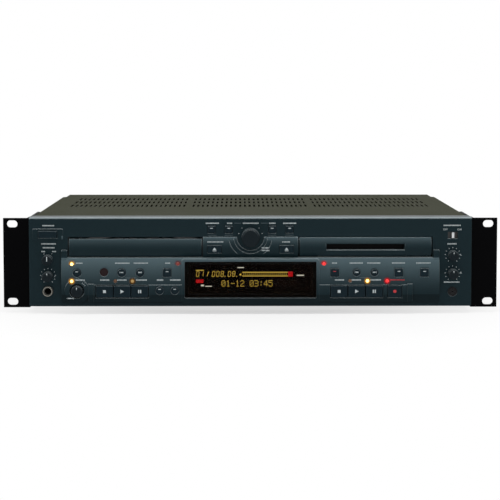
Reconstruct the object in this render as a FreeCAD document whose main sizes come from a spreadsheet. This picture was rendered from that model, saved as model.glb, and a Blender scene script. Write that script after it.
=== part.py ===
import FreeCAD, Part
import math
import os
from types import SimpleNamespace

import Sketcher
from FreeCAD import Placement, Rotation, Vector

# A two-unit rack deck with a compact disc tray on the left and a minidisc slot on the right.
# Millimetres. X runs to the right, Y to the rear, Z up; the front faces -Y.
# Heights that end in _up are measured from the lower edge of the moulded front.
# Depths that end in _back are measured from the flat face of the moulded front.

doc = FreeCAD.newDocument("minidisc_deck")
sheet = doc.addObject("Spreadsheet::Sheet", "dim")
pieces = []


class Size:
    """A length that knows its value and the expression that gives it."""

    def __init__(self, text, value):
        self.text = text
        self.value = value

    def __add__(self, other):
        other = size(other)
        return Size(f"({self.text} + {other.text})", self.value + other.value)

    def __sub__(self, other):
        other = size(other)
        return Size(f"({self.text} - {other.text})", self.value - other.value)

    def __mul__(self, other):
        other = size(other)
        return Size(f"({self.text} * {other.text})", self.value * other.value)

    def __truediv__(self, other):
        other = size(other)
        return Size(f"({self.text} / {other.text})", self.value / other.value)

    def __neg__(self):
        return Size(f"(0 - {self.text})", -self.value)

    def __radd__(self, other):
        return size(other) + self

    def __rsub__(self, other):
        return size(other) - self

    def __rmul__(self, other):
        return size(other) * self


def size(number):
    return number if isinstance(number, Size) else Size(f"({float(number)})", float(number))


def drive(**named):
    """Write driving dimensions to the sheet and return them as Size values."""
    for alias, number in named.items():
        row = len(driven) + 1
        sheet.set(f"A{row}", alias)
        sheet.set(f"B{row}", str(number))
        sheet.setAlias(f"B{row}", alias)
        driven[alias] = Size(f"dim.{alias}", float(number))


driven = {}
drive(
    # Case
    foot_tall=7.0, foot_round=11.0, foot_in_x=150.0, foot_front_back=58.0, foot_rear_back=258.0,
    face_wide=431.0, face_tall=87.0, face_deep=18.0, face_wall=3.0, rim_wall=2.5,
    face_edge=1.3, body_long=285.0, rear_out=9.0, sheet_thick=1.2,
    cover_wide=429.4, cover_thick=1.0, cover_drop=1.0, cover_step=3.4, cover_step_long=30.0,
    cover_under=1.6, flange_tall=14.0, flange_half=180.0,
    vent_long=24.0, vent_wide=2.4, vent_pitch=5.0, vent_row_pitch=41.0, vent_front_back=128.0,
    vent_group_pitch=130.0, vent_slots=25,
    ear_wide=482.6, ear_tall=87.6, ear_low=1.75, ear_thick=2.6, ear_back=5.0, ear_flange_back=72.0,
    ear_gap=0.2, hole_span_x=465.1, hole_span_z=76.2, hole_long=10.5, hole_tall=7.0,
    # Moulded relief of the front
    block_wide=367.6, block_low_up=3.2, block_top_up=47.7, block_proud=2.0, block_crown=3.0,
    horn_wide=5.4, horn_top_up=55.2, horn_proud=2.6,
    sill_end=157.6, sill_low_up=4.8, sill_top_up=21.6, sill_proud=5.4, sill_post=5.2,
    sill_post_proud=6.1, key_floor=2.6, key_margin=0.6,
    bezel_half=66.8, bezel_low_up=2.9, bezel_top_up=47.0, bezel_proud=5.6,
    window_wide=127.8, window_tall=35.1, window_low_up=9.0, window_thick=2.0, window_recess=0.8,
    window_ledge=3.0, window_gap=0.15, tube_side=5.0, tube_thick=7.0, tube_gap=0.3,
    dial_up=68.1, dish_one=13.4, dish_two=16.4, dish_three=20.9, dish_step=0.9,
    middle_half=46.3, upper_low_up=48.3, upper_top_up=67.7, upper_proud=0.5, upper_crown=2.6,
    tray_x=111.9, tray_opening_wide=131.2,
    # Columns of controls at the two ends
    column_x=197.2, power_up=70.6, power_wide=17.8, power_tall=6.7, power_proud=2.2,
    power_frame_wide=29.4, power_frame_tall=10.5, power_frame_proud=0.6,
    selector_up=46.1, phones_level_up=29.9, phones_up=15.0, input_left_up=50.0,
    input_right_up=32.0, keyboard_up=14.1,
    timer_up=69.4, timer_slot_wide=9.8, timer_slot_tall=6.7, timer_cap_wide=2.2,
    timer_cap_tall=5.4, timer_throw=2.6, timer_proud=1.3,
    # Buttons
    fit_gap=0.3, rest_gap=0.3, press=0.5, lip_tall=1.1, lip_thick=1.2, stem_half=1.5,
    switch_tall=4.3, switch_gap=0.85, board_back=12.0, board_thick=1.6, edge_round=0.5,
    key_up=15.2, key_wide=16.3, key_tall=11.3, key_pitch=17.1, key_proud=5.7,
    cd_key_x=124.8, md_key_x=103.2, record_x=140.3, record_wide=13.2,
    row_up=33.6, round_r=3.9, square_wide=7.6, square_tall=7.9, button_proud=5.7,
    pitch_x=168.6, key_control_up=33.4, skip_x_near=107.4, skip_x_far=125.2, cd_select_x=81.0,
    side_button_up=16.3, time_x=88.4, display_x=73.7, side_button_r=3.8,
    md_select_x=81.8, md_skip_near=103.1, md_skip_far=120.5, number_x=144.2, input_x=169.1,
    round_small_r=3.5, menu_up=75.3, menu_near=21.1, menu_far=38.0, menu_wide=7.0, menu_tall=6.8,
    menu_proud=1.0, eject_x=35.0, eject_up=56.4, eject_wide=13.5, eject_tall=7.5, eject_proud=3.9,
    # Knobs
    knob_r=4.9, knob_out=9.0, knob_foot=0.4, knob_shaft_r=3.0, shaft_gap=0.08, knob_bevel=0.6,
    pot_wide=11.0, pot_long=5.5, shaft_in=3.0,
    pitch_up=15.6, pitch_r=5.7, pitch_out=9.2, pitch_ring_r=7.1, pitch_boss_r=12.0,
    pitch_boss_proud=5.6, jog_r=8.8, jog_out=15.0, jog_skin=2.6, jog_foot=0.6, jog_press=0.5,
    # Lamps and small sockets
    lamp_r=1.6, lamp_holder_r=2.1, lamp_gap=0.1, lamp_top_up=41.9, lamp_mid_up=25.4,
    lamp_proud_top=4.3, lamp_proud_mid=5.6, lamp_left_x=173.6, cd_lamp_x=70.7, md_lamp_x=71.4,
    play_lamp_cd=131.3, ready_lamp_cd=114.7, play_lamp_md=96.8, ready_lamp_md=113.6,
    record_lamp_x=132.8, remote_x=142.3, remote_up=34.0, remote_r=4.0, remote_proud=4.9,
    phones_r=3.175, phones_gap=0.05, phones_nut_r=5.0, phones_nut_proud=1.6, phones_long=28.0,
    keyboard_r=4.5, keyboard_long=9.0, keyboard_pin_r=0.5, keyboard_pin_circle=2.6,
    # Compact disc tray and its drive
    tray_front_wide=128.6, tray_front_low_up=48.9, tray_front_top_up=66.0, tray_front_thick=2.2,
    tray_low_up=52.5, tray_thick=7.0, tray_wide=127.0, tray_long=150.0, disc_back=68.0,
    well_r=61.0, well_deep=2.4, small_well_r=41.0, small_well_deep=1.3, tray_slot_half=22.5,
    tray_slot_front=20.0, tray_travel=130.0, module=1.0, rack_x=57.0, rack_thick=3.5,
    rack_tall=2.6, rack_front_back=8.0, gear_back=17.0, gear_teeth=16, backlash=0.3,
    frame_gap=1.2, frame_wall=2.0, frame_base_up=46.8, frame_base_thick=1.5, frame_long=158.0,
    frame_front_back=4.0, frame_top_up=70.0, ledge_thick=1.6, glide_gap=0.3,
    bridge_half=26.0, bridge_thick=1.6, window_half=25.0, window_front_back=54.0,
    window_rear_back=150.0, rod_x=19.0, rod_r=1.5, rod_up=45.0, rod_fit=0.1, leg_side=8.0,
    hub_r=14.0, hub_thick=2.0, hub_top_up=57.6, cone_r=7.3, cone_top_r=4.6, cone_tall=2.4,
    spindle_r=1.0, spindle_fit=0.08, motor_r=12.0, motor_top_up=49.0,
    puck_flange_r=17.5, puck_flange_thick=1.2, puck_neck_r=13.6, puck_hole_gap=0.4,
    puck_low_up=60.8, puck_rest=0.3, puck_lift=1.5,
    sled_half=23.0, sled_front_back=86.0, sled_long=28.0, sled_low_up=42.0, sled_top_up=50.0,
    lens_r=3.0, lens_tall=1.5, sled_travel=30.0,
    # Minidisc slot and its drive
    md_bezel_wide=128.2, md_bezel_low_up=49.2, md_bezel_top_up=67.3, slot_wide=75.8, slot_tall=5.4,
    slot_up=58.4, slot_lead=0.6, flap_thick=0.9, flap_hang_up=62.6, flap_back=4.6,
    flap_low_up=55.4, pin_r=0.8, pin_fit=0.08, flap_ear_thick=1.6, flap_ear_tall=5.0,
    holder_half=38.0, holder_sheet=0.8, holder_low_up=54.6, holder_top_up=62.0,
    holder_front_back=14.0, holder_long=72.0, holder_drop=3.6, holder_mouth=26.0,
    holder_pin_up=59.0, holder_pin_r=1.5, holder_pin_in=9.0, pin_gap=0.1,
    md_frame_half=41.0, md_frame_wall=1.2, md_base_up=40.0, md_base_thick=1.2, md_frame_front=12.0,
    md_frame_long=86.0, md_frame_top_up=64.0, md_disc_back=50.0, md_hub_r=9.5, md_hub_thick=1.6,
    md_hub_top_up=49.6, md_motor_r=9.0, md_motor_top_up=46.0, md_rod_x=13.0, md_rod_up=44.5,
    md_sled_half=17.0, md_sled_front_back=63.0, md_sled_long=14.0, md_sled_low_up=42.2,
    md_sled_top_up=47.0, md_sled_travel=14.0, md_rod_r=1.2,
    # Rear
    inlet_x=172.0, inlet_up=30.0, inlet_wide=27.0, inlet_tall=20.0, port_x=100.0, port_up=30.0,
    port_wide=39.0, port_tall=12.4, optical_x=52.0, optical_wide=10.0, phono_x=5.0,
    phono_pitch_x=24.0, phono_up=22.0, phono_pitch_up=20.0, phono_r=4.1, phono_bore_r=1.6,
    phono_nut_r=5.6, xlr_x=158.0, xlr_up=30.0, xlr_pitch=32.0, xlr_r=10.0, xlr_flange=26.0,
    socket_depth=10.0,
    # Screws
    bracket_screw_front=32.0, bracket_screw_rear=60.0, bracket_screw_rise=24.0,
    pan_screw_back=200.0, pan_screw_up=9.0, rear_screw_low=10.0, rear_screw_drop=14.0,
    rear_screw_in=7.0, rear_screw_mid=60.0, xlr_screw=9.5, port_screw_in=3.5, screw_gap=0.1,
    head_r=3.2, head_tall=1.9, shank_r=1.4, shank_long=6.0, cross_wide=0.9, cross_long=3.6,
    cross_deep=1.1, boss_r=3.0,
)
dim = SimpleNamespace(**driven)

half = dim.face_wide / 2
face_y = dim.jog_out - (dim.jog_out + dim.body_long + dim.rear_out) / 2


def back(depth):
    """Y of a depth behind the flat face; a negative depth stands proud of it."""
    return face_y + depth


def up(height):
    """Z of a height above the lower edge of the front."""
    return dim.foot_tall + height


# Normals of the three origin planes along their own world axes.
PLANES = {"XY": ("XY_Plane", 1), "YZ": ("YZ_Plane", 1), "XZ": ("XZ_Plane", -1)}


def bind(item, path, length):
    item.setExpression(path, size(length).text)


def origin_plane(body, plane):
    return next(item for item in body.Origin.OriginFeatures if item.Role == PLANES[plane][0])


def new_body(label, x=0, y=0, z=0):
    body = doc.addObject("PartDesign::Body", label)
    body.Label = label
    for axis, length in (("x", x), ("y", y), ("z", z)):
        bind(body, f"Placement.Base.{axis}", length)
    pieces.append(body)
    return body


class Outline:
    """A closed loop of straight and round edges with a dimension on each corner."""

    def __init__(self, corners, arcs=()):
        self.corners = [(size(u), size(v)) for u, v in corners]
        self.arcs = dict(arcs)

    def draw(self, sketch):
        first = sketch.GeometryCount
        count = len(self.corners)
        points = [Vector(u.value, v.value, 0) for u, v in self.corners]
        for index in range(count):
            start, end = points[index], points[(index + 1) % count]
            if index in self.arcs:
                sketch.addGeometry(round_edge(start, end, self.arcs[index]), False)
            else:
                sketch.addGeometry(Part.LineSegment(start, end), False)
        ends = [edge_ends(sketch.Geometry[first + index], points[index]) for index in range(count)]
        for index in range(count):
            following = (index + 1) % count
            sketch.addConstraint(Sketcher.Constraint(
                "Coincident", first + index, ends[index][1], first + following, ends[following][0]))
        for index, (u, v) in enumerate(self.corners):
            corner = (first + index, ends[index][0])
            fix_point(sketch, corner, u, v)
        for index, (radius, side) in self.arcs.items():
            number = sketch.addConstraint(
                Sketcher.Constraint("Radius", first + index, size(radius).value))
            bind(sketch, f"Constraints[{number}]", radius)


class Disc:
    """A circle with its centre and radius dimensioned."""

    def __init__(self, u, v, radius):
        self.u, self.v, self.radius = size(u), size(v), size(radius)

    def draw(self, sketch):
        index = sketch.GeometryCount
        centre = Vector(self.u.value, self.v.value, 0)
        sketch.addGeometry(Part.Circle(centre, Vector(0, 0, 1), self.radius.value), False)
        fix_point(sketch, (index, 3), self.u, self.v)
        number = sketch.addConstraint(Sketcher.Constraint("Radius", index, self.radius.value))
        bind(sketch, f"Constraints[{number}]", self.radius)


def round_edge(start, end, bend):
    """The arc of a given radius from one corner to the next, bulging to its side."""
    radius, side = size(bend[0]).value, bend[1]
    chord = end - start
    across = Vector(-chord.y, chord.x, 0).normalize() * side
    centre = (start + end) / 2 - across * math.sqrt(max(radius ** 2 - (chord.Length / 2) ** 2, 0))
    if side > 0:
        start, end = end, start
    angles = [math.atan2(point.y - centre.y, point.x - centre.x) for point in (start, end)]
    return Part.ArcOfCircle(Part.Circle(centre, Vector(0, 0, 1), radius), *angles)


def edge_ends(edge, start):
    """The sketch's point numbers of an edge's first and last corner, in walking order."""
    near = edge.StartPoint.distanceToPoint(start) < edge.EndPoint.distanceToPoint(start)
    return (1, 2) if near else (2, 1)


def fix_point(sketch, point, u, v):
    for kind, length in (("DistanceX", u), ("DistanceY", v)):
        if abs(length.value) < 1e-9:
            axis = -2 if kind == "DistanceX" else -1
            sketch.addConstraint(Sketcher.Constraint("PointOnObject", point[0], point[1], axis))
            continue
        number = sketch.addConstraint(
            Sketcher.Constraint(kind, -1, 1, point[0], point[1], length.value))
        bind(sketch, f"Constraints[{number}]", length)


def rect(u0, u1, v0, v1):
    return Outline([(u0, v0), (u1, v0), (u1, v1), (u0, v1)])


def centred(u, v, wide, tall):
    u, v, wide, tall = size(u), size(v), size(wide), size(tall)
    return rect(u - wide / 2, u + wide / 2, v - tall / 2, v + tall / 2)


def rounded(u, v, wide, tall, radius):
    """A rectangle about a centre with round corners."""
    u, v, wide, tall, radius = (size(item) for item in (u, v, wide, tall, radius))
    left, right = u - wide / 2, u + wide / 2
    low, high = v - tall / 2, v + tall / 2
    corners = [
        (left + radius, low), (right - radius, low), (right, low + radius),
        (right, high - radius), (right - radius, high), (left + radius, high),
        (left, high - radius), (left, low + radius)]
    return Outline(corners, {1: (radius, -1), 3: (radius, -1), 5: (radius, -1), 7: (radius, -1)})


def crowned(inner, flat, crown, low, high):
    """A side profile that is flat at the back and bulges forward between two heights."""
    chord = high - low
    radius = (chord * chord / 4 + crown * crown) / (2 * crown)
    return Outline([(inner, low), (flat, low), (flat, high), (inner, high)], {1: (radius, 1)})


def new_sketch(body, plane, offset, *outlines):
    sketch = body.newObject("Sketcher::SketchObject", f"{body.Name}_sketch")
    sketch.AttachmentSupport = [(origin_plane(body, plane), "")]
    sketch.MapMode = "FlatFace"
    bind(sketch, "AttachmentOffset.Base.z", size(offset) * PLANES[plane][1])
    for outline in outlines:
        outline.draw(sketch)
    return sketch


def volume(body):
    return body.Shape.Volume if body.Tip and not body.Shape.isNull() else 0.0


def extrude(body, plane, start, end, *outlines, cut=False):
    """Add or cut outlines between two places along the plane's own world axis."""
    start, end = size(start), size(end)
    forward = (PLANES[plane][1] > 0) != cut
    sketch = new_sketch(body, plane, start if forward else end, *outlines)
    before = volume(body)
    kind = "Pocket" if cut else "Pad"
    feature = body.newObject(f"PartDesign::{kind}", f"{body.Name}_{kind.lower()}")
    feature.Profile = sketch
    bind(feature, "Length", end - start)
    doc.recompute()
    change = volume(body) - before
    if (change >= -1e-6) if cut else (change <= 1e-6):
        raise ValueError(f"{kind} on {body.Label} changes nothing")
    return feature


def cut(body, plane, start, end, *outlines):
    return extrude(body, plane, start, end, *outlines, cut=True)


def revolve(body, outline):
    """Turn a profile of radius and depth about the body's own Y axis."""
    return turn(body, "XY", outline)


def turn(body, plane, outline, kind="Revolution"):
    sketch = new_sketch(body, plane, 0, outline)
    feature = body.newObject(f"PartDesign::{kind}", f"{body.Name}_{kind.lower()}")
    feature.Profile = sketch
    feature.ReferenceAxis = (sketch, ["V_Axis"])
    feature.Angle = 360
    doc.recompute()
    return feature


def dress(body, kind, length, wanted):
    """Round or bevel the edges of the body that pass a test."""
    base = body.Tip
    names = [f"Edge{number}" for number, edge in enumerate(base.Shape.Edges, 1) if wanted(edge)]
    if not names:
        raise ValueError(f"no edge of {body.Label} takes its {kind.lower()}")
    feature = body.newObject(f"PartDesign::{kind}", f"{body.Name}_{kind.lower()}")
    feature.Base = (base, names)
    bind(feature, "Radius" if kind == "Fillet" else "Size", length)
    doc.recompute()
    return feature


def at_depth(depth):
    """A test for edges that lie in the plane of one Y, in the body's own frame."""
    place = size(depth).value
    return lambda edge: (abs(edge.BoundBox.YMin - place) < 1e-4
                         and abs(edge.BoundBox.YMax - place) < 1e-4)


def repeat(body, feature, axis, step, count):
    """Repeat a feature in a row along an axis of its own sketch."""
    pattern = body.newObject("PartDesign::LinearPattern", f"{body.Name}_row")
    pattern.Originals = [feature]
    pattern.Direction = (feature.Profile[0], [axis])
    bind(pattern, "Length", step * (count - 1))
    pattern.Occurrences = count
    body.Tip = pattern
    doc.recompute()
    return pattern


def ring_of(body, feature, count):
    """Repeat a feature round the normal of its own sketch."""
    pattern = body.newObject("PartDesign::PolarPattern", f"{body.Name}_ring")
    pattern.Originals = [feature]
    pattern.Axis = (feature.Profile[0], ["N_Axis"])
    pattern.Angle = 360
    pattern.Occurrences = count
    body.Tip = pattern
    doc.recompute()
    return pattern


def block(x0, x1, y0, y1, z0, z1):
    """A loose box between three pairs of coordinates."""
    box = doc.addObject("Part::Box", "box")
    for (side, axis), (low, high) in zip(
            (("Length", "x"), ("Width", "y"), ("Height", "z")), ((x0, x1), (y0, y1), (z0, z1))):
        bind(box, side, size(high) - low)
        bind(box, f"Placement.Base.{axis}", low)
    return box


TURNS = {
    "X": Rotation(Vector(0, 1, 0), 90), "Y": Rotation(Vector(1, 0, 0), -90), "Z": Rotation()}


def rod(axis, x, y, z, length, radius):
    """A loose cylinder that starts at a point and runs along +X, +Y or +Z."""
    cylinder = doc.addObject("Part::Cylinder", "rod")
    cylinder.Placement = Placement(Vector(), TURNS[axis])
    bind(cylinder, "Radius", radius)
    bind(cylinder, "Height", length)
    for name, place in (("x", x), ("y", y), ("z", z)):
        bind(cylinder, f"Placement.Base.{name}", place)
    return cylinder


def join(*items):
    fusion = doc.addObject("Part::MultiFuse", "join")
    fusion.Shapes = list(items)
    return fusion


def carve(base, *tools):
    result = doc.addObject("Part::Cut", "carve")
    result.Base = base
    result.Tool = tools[0] if len(tools) == 1 else join(*tools)
    return result


def group(label, items):
    """Separate solids of one sub-part."""
    together = doc.addObject("Part::Compound", label)
    together.Label = label
    together.Links = list(items)
    pieces.append(together)
    return together


# Where each button sits: label, x, height, width, height of cap, proud, round.
BUTTONS = [
    ("power_button", -dim.column_x, dim.power_up, dim.power_wide, dim.power_tall, dim.power_proud, False),
    ("open_close_button", -dim.eject_x, dim.eject_up, dim.eject_wide, dim.eject_tall, dim.eject_proud, False),
    ("eject_button", dim.eject_x, dim.eject_up, dim.eject_wide, dim.eject_tall, dim.eject_proud, False),
]
for label, side, x in (
        ("cd_menu_button", -1, dim.menu_far), ("no_button", -1, dim.menu_near),
        ("yes_button", 1, dim.menu_near), ("md_menu_button", 1, dim.menu_far)):
    BUTTONS.append((label, x * side, dim.menu_up, dim.menu_wide, dim.menu_tall, dim.menu_proud, False))
for label, x, wide in (
        ("cd_stop_button", -dim.cd_key_x - dim.key_pitch, dim.key_wide),
        ("cd_play_button", -dim.cd_key_x, dim.key_wide),
        ("cd_ready_button", -dim.cd_key_x + dim.key_pitch, dim.key_wide),
        ("md_stop_button", dim.md_key_x - dim.key_pitch, dim.key_wide),
        ("md_play_button", dim.md_key_x, dim.key_wide),
        ("md_ready_button", dim.md_key_x + dim.key_pitch, dim.key_wide),
        ("record_button", dim.record_x, dim.record_wide)):
    BUTTONS.append((label, x, dim.key_up, wide, dim.key_tall, dim.key_proud, False))
for label, x in (
        ("cd_select_button", -dim.cd_select_x), ("md_select_button", dim.md_select_x),
        ("number_button", dim.number_x), ("input_select_button", dim.input_x)):
    BUTTONS.append((label, x, dim.row_up, dim.square_wide, dim.square_tall, dim.button_proud, False))
for label, x, height, radius in (
        ("key_control_button", -dim.pitch_x, dim.key_control_up, dim.round_r),
        ("cd_skip_back_button", -dim.skip_x_far, dim.row_up, dim.round_r),
        ("cd_skip_forward_button", -dim.skip_x_near, dim.row_up, dim.round_r),
        ("time_button", -dim.time_x, dim.side_button_up, dim.side_button_r),
        ("display_button", -dim.display_x, dim.side_button_up, dim.side_button_r),
        ("md_skip_back_button", dim.md_skip_near, dim.row_up, dim.round_small_r),
        ("md_skip_forward_button", dim.md_skip_far, dim.row_up, dim.round_small_r)):
    proud = dim.sill_proud + 0.5 if height is dim.side_button_up else dim.button_proud
    BUTTONS.append((label, x, height, radius * 2, radius * 2, proud, True))

# Where each plain knob sits: label, x, height, radius, how far it stands out of the flat face.
KNOBS = [
    ("monitor_knob", -dim.column_x, dim.selector_up, dim.knob_r, dim.knob_out, dim.knob_foot),
    ("phones_level_knob", -dim.column_x, dim.phones_level_up, dim.knob_r, dim.knob_out, dim.knob_foot),
    ("input_level_knob_left", dim.column_x, dim.input_left_up, dim.knob_r, dim.knob_out, dim.knob_foot),
    ("input_level_knob_right", dim.column_x, dim.input_right_up, dim.knob_r, dim.knob_out, dim.knob_foot),
    ("pitch_knob", -dim.pitch_x, dim.pitch_up, dim.pitch_r, dim.pitch_out, dim.knob_foot),
]

# Where each lamp sits: x, height, how far it stands out.
LAMPS = [
    (-dim.lamp_left_x, dim.lamp_top_up, dim.lamp_proud_top),
    (-dim.lamp_left_x, dim.lamp_mid_up, dim.lamp_proud_mid),
    (-dim.cd_lamp_x, dim.lamp_top_up, dim.lamp_proud_top),
    (-dim.play_lamp_cd, dim.lamp_mid_up, dim.lamp_proud_mid),
    (-dim.ready_lamp_cd, dim.lamp_mid_up, dim.lamp_proud_mid),
    (dim.md_lamp_x, dim.lamp_top_up, dim.lamp_proud_top),
    (dim.play_lamp_md, dim.lamp_mid_up, dim.lamp_proud_mid),
    (dim.ready_lamp_md, dim.lamp_mid_up, dim.lamp_proud_mid),
    (dim.record_lamp_x, dim.lamp_mid_up, dim.lamp_proud_mid),
]

# The row of keys on each side shares one opening; the record key has its own.
KEY_OPENINGS = [
    (-dim.cd_key_x, dim.key_pitch * 2 + dim.key_wide),
    (dim.md_key_x, dim.key_pitch * 2 + dim.key_wide),
    (dim.record_x, dim.record_wide),
]
IN_A_ROW = ("cd_stop_button", "cd_play_button", "cd_ready_button",
            "md_stop_button", "md_play_button", "md_ready_button", "record_button")


def front_fascia():
    """The moulded front: face, rim, raised lower block, sills, bezel, dish and every opening."""
    body = new_body("front_fascia", y=face_y, z=dim.foot_tall)
    extrude(body, "XZ", 0, dim.face_wall, rect(-half, half, 0, dim.face_tall))
    top = dim.face_tall.value
    dress(body, "Chamfer", dim.face_edge,
          lambda edge: at_depth(0)(edge) and edge.BoundBox.ZMin > top - 1e-4)
    rim_rear = dim.face_deep
    extrude(body, "XZ", dim.face_wall, rim_rear,
            rect(-half, half, 0, dim.rim_wall),
            rect(-half, half, dim.face_tall - dim.rim_wall, dim.face_tall))
    for side in (-1, 1):
        inner, outer = sorted((half * side, (half - dim.rim_wall) * side), key=lambda item: item.value)
        extrude(body, "XZ", dim.face_wall, rim_rear,
                rect(inner, outer, dim.rim_wall, dim.face_tall - dim.rim_wall))
    buried = dim.face_wall / 2
    end = dim.block_wide / 2
    extrude(body, "YZ", -end, end,
            crowned(buried, -dim.block_proud, dim.block_crown, dim.block_low_up, dim.block_top_up))
    extrude(body, "YZ", -dim.middle_half, dim.middle_half,
            crowned(buried, -dim.upper_proud, dim.upper_crown, dim.upper_low_up, dim.upper_top_up))
    for side in (-1, 1):
        inner, outer = sorted((end * side, (end - dim.horn_wide) * side), key=lambda item: item.value)
        extrude(body, "XZ", -dim.horn_proud, buried,
                rect(inner, outer, dim.block_top_up - 2, dim.horn_top_up))
        dress(body, "Fillet", 1.0, lambda edge: edge_near(
            edge, y=-dim.horn_proud.value, z=dim.horn_top_up.value, x=(end * side).value))
        inner, outer = sorted((dim.bezel_half * side, dim.sill_end * side), key=lambda item: item.value)
        extrude(body, "XZ", -dim.sill_proud, 0, rect(inner, outer, dim.sill_low_up, dim.sill_top_up))
        inner, outer = sorted(
            (dim.sill_end * side, (dim.sill_end - dim.sill_post) * side), key=lambda item: item.value)
        extrude(body, "XZ", -dim.sill_post_proud, 0,
                rect(inner, outer, dim.sill_low_up, dim.sill_top_up + 1))
    bezel_tall = dim.bezel_top_up - dim.bezel_low_up
    extrude(body, "XZ", -dim.bezel_proud, 0,
            rounded(0, dim.bezel_low_up + bezel_tall / 2, dim.bezel_half * 2, bezel_tall, 2.5))
    extrude(body, "XZ", -dim.pitch_boss_proud, 0,
            Disc(-dim.pitch_x, dim.pitch_up, dim.pitch_boss_r))
    extrude(body, "XZ", -dim.power_frame_proud, 0,
            rounded(-dim.column_x, dim.power_up, dim.power_frame_wide, dim.power_frame_tall, 1.0))
    extrude(body, "XZ", dim.face_wall, dim.board_back,
            *[Disc(x, height, dim.boss_r) for x, height in board_bosses()])
    # Stepped dish round the dial
    proud = dim.block_proud + dim.block_crown + 4
    for radius, level in ((dim.dish_one, 0), (dim.dish_two, 1), (dim.dish_three, 2)):
        cut(body, "XZ", -proud, -dim.dish_step * level, Disc(0, dim.dial_up, radius))
    # Openings right through the wall
    through = dim.face_wall + 0.2
    upper_tall = dim.upper_top_up - dim.upper_low_up
    upper_up = dim.upper_low_up + upper_tall / 2
    window_up = dim.window_low_up + dim.window_tall / 2
    cut(body, "XZ", -proud, through, *[
        centred(dim.tray_x * side, upper_up, dim.tray_opening_wide, upper_tall) for side in (-1, 1)])
    cut(body, "XZ", -proud, through,
        centred(0, window_up, dim.window_wide - dim.window_ledge * 2,
                dim.window_tall - dim.window_ledge * 2))
    seat = dim.bezel_proud - dim.window_recess - dim.window_thick - dim.window_gap
    cut(body, "XZ", -proud, -seat,
        rounded(0, window_up, dim.window_wide + dim.window_gap * 2,
                dim.window_tall + dim.window_gap * 2, 1.2))
    for x, wide in KEY_OPENINGS:
        cut(body, "XZ", -proud, -dim.key_floor,
            centred(x, dim.key_up, wide + dim.key_margin * 2, dim.key_tall + dim.key_margin * 2))
        cut(body, "XZ", -proud, through,
            centred(x, dim.key_up, wide + dim.fit_gap * 2, dim.key_tall + dim.fit_gap * 2))
    for label, x, height, wide, tall, _, is_round in BUTTONS:
        if label not in IN_A_ROW:
            hole = (Disc(x, height, wide / 2 + dim.fit_gap) if is_round else
                    centred(x, height, wide + dim.fit_gap * 2, tall + dim.fit_gap * 2))
            cut(body, "XZ", -proud, through, hole)
    round_holes = [Disc(x, height, dim.knob_shaft_r + dim.fit_gap) for _, x, height, *_ in KNOBS]
    round_holes.append(Disc(0, dim.dial_up, dim.knob_shaft_r + dim.fit_gap))
    round_holes += [Disc(x, height, dim.lamp_r + dim.lamp_gap) for x, height, _ in LAMPS]
    round_holes.append(Disc(-dim.remote_x, dim.remote_up, dim.remote_r + dim.lamp_gap))
    round_holes.append(Disc(-dim.column_x, dim.phones_up, dim.phones_nut_r - 0.8))
    round_holes.append(Disc(dim.column_x, dim.keyboard_up, dim.keyboard_r + dim.lamp_gap))
    cut(body, "XZ", -proud, through, *round_holes)
    cut(body, "XZ", -proud, -(dim.block_proud - 0.6),
        Disc(-dim.pitch_x, dim.pitch_up, dim.pitch_ring_r))
    cut(body, "XZ", -proud, through,
        centred(dim.column_x, dim.timer_up, dim.timer_slot_wide, dim.timer_slot_tall))


def edge_near(edge, x, y, z):
    """Whether an edge runs across at one height and depth and reaches one side."""
    box = edge.BoundBox
    same_depth = abs(box.YMin - y) < 1e-3 and abs(box.YMax - y) < 1e-3
    same_height = abs(box.ZMin - z) < 1e-3 and abs(box.ZMax - z) < 1e-3
    return same_depth and same_height and min(abs(box.XMin - x), abs(box.XMax - x)) < 1e-3


def board_bosses():
    """Where the front board is held off the moulding."""
    low = dim.block_low_up + 2.2
    high = dim.menu_up + dim.menu_tall / 2 + 4.0
    return [
        (-(dim.sill_end + 3), low), (dim.sill_end + 3, low),
        (-(dim.bezel_half + 1.5), low + 1), (dim.bezel_half + 1.5, low + 1),
        (-(dim.menu_far + dim.menu_near) / 2, high), ((dim.menu_far + dim.menu_near) / 2, high)]


def md_bezel():
    """The crowned plate round the minidisc slot, with two ears that carry the flap."""
    body = new_body("md_bezel", x=dim.tray_x, y=face_y, z=dim.foot_tall)
    side = dim.md_bezel_wide / 2
    extrude(body, "YZ", -side, side,
            crowned(dim.face_wall, -dim.upper_proud, dim.upper_crown,
                    dim.md_bezel_low_up, dim.md_bezel_top_up))
    proud = dim.upper_proud + dim.upper_crown + 1
    cut(body, "XZ", -proud, dim.face_wall,
        centred(0, dim.slot_up, dim.slot_wide, dim.slot_tall))
    cut(body, "XZ", -proud, -dim.upper_proud - dim.upper_crown + dim.slot_lead,
        centred(0, dim.slot_up, dim.slot_wide + dim.slot_lead * 2, dim.slot_tall + dim.slot_lead * 2))
    inner = flap_half() + dim.fit_gap
    for sign in (-1, 1):
        low, high = sorted((inner * sign, (inner + dim.flap_ear_thick) * sign),
                           key=lambda item: item.value)
        extrude(body, "YZ", low, high,
                rect(dim.face_wall, dim.flap_back + 2.2, dim.flap_hang_up - dim.flap_ear_tall / 2,
                     dim.flap_hang_up + dim.flap_ear_tall / 2))
        cut(body, "YZ", low, high, Disc(dim.flap_back, dim.flap_hang_up, dim.pin_r + dim.pin_fit))
    # Flanges behind the wall that fix the plate in its opening
    reach = dim.tray_opening_wide / 2 + 2.0
    for sign in (-1, 1):
        low, high = sorted((reach * sign, (side - 6) * sign), key=lambda item: item.value)
        extrude(body, "XZ", dim.face_wall, dim.face_wall + 1.5,
                rect(low, high, dim.md_bezel_low_up + 2, dim.md_bezel_top_up - 2))


def flap_half():
    return dim.slot_wide / 2 + 1.2


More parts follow.
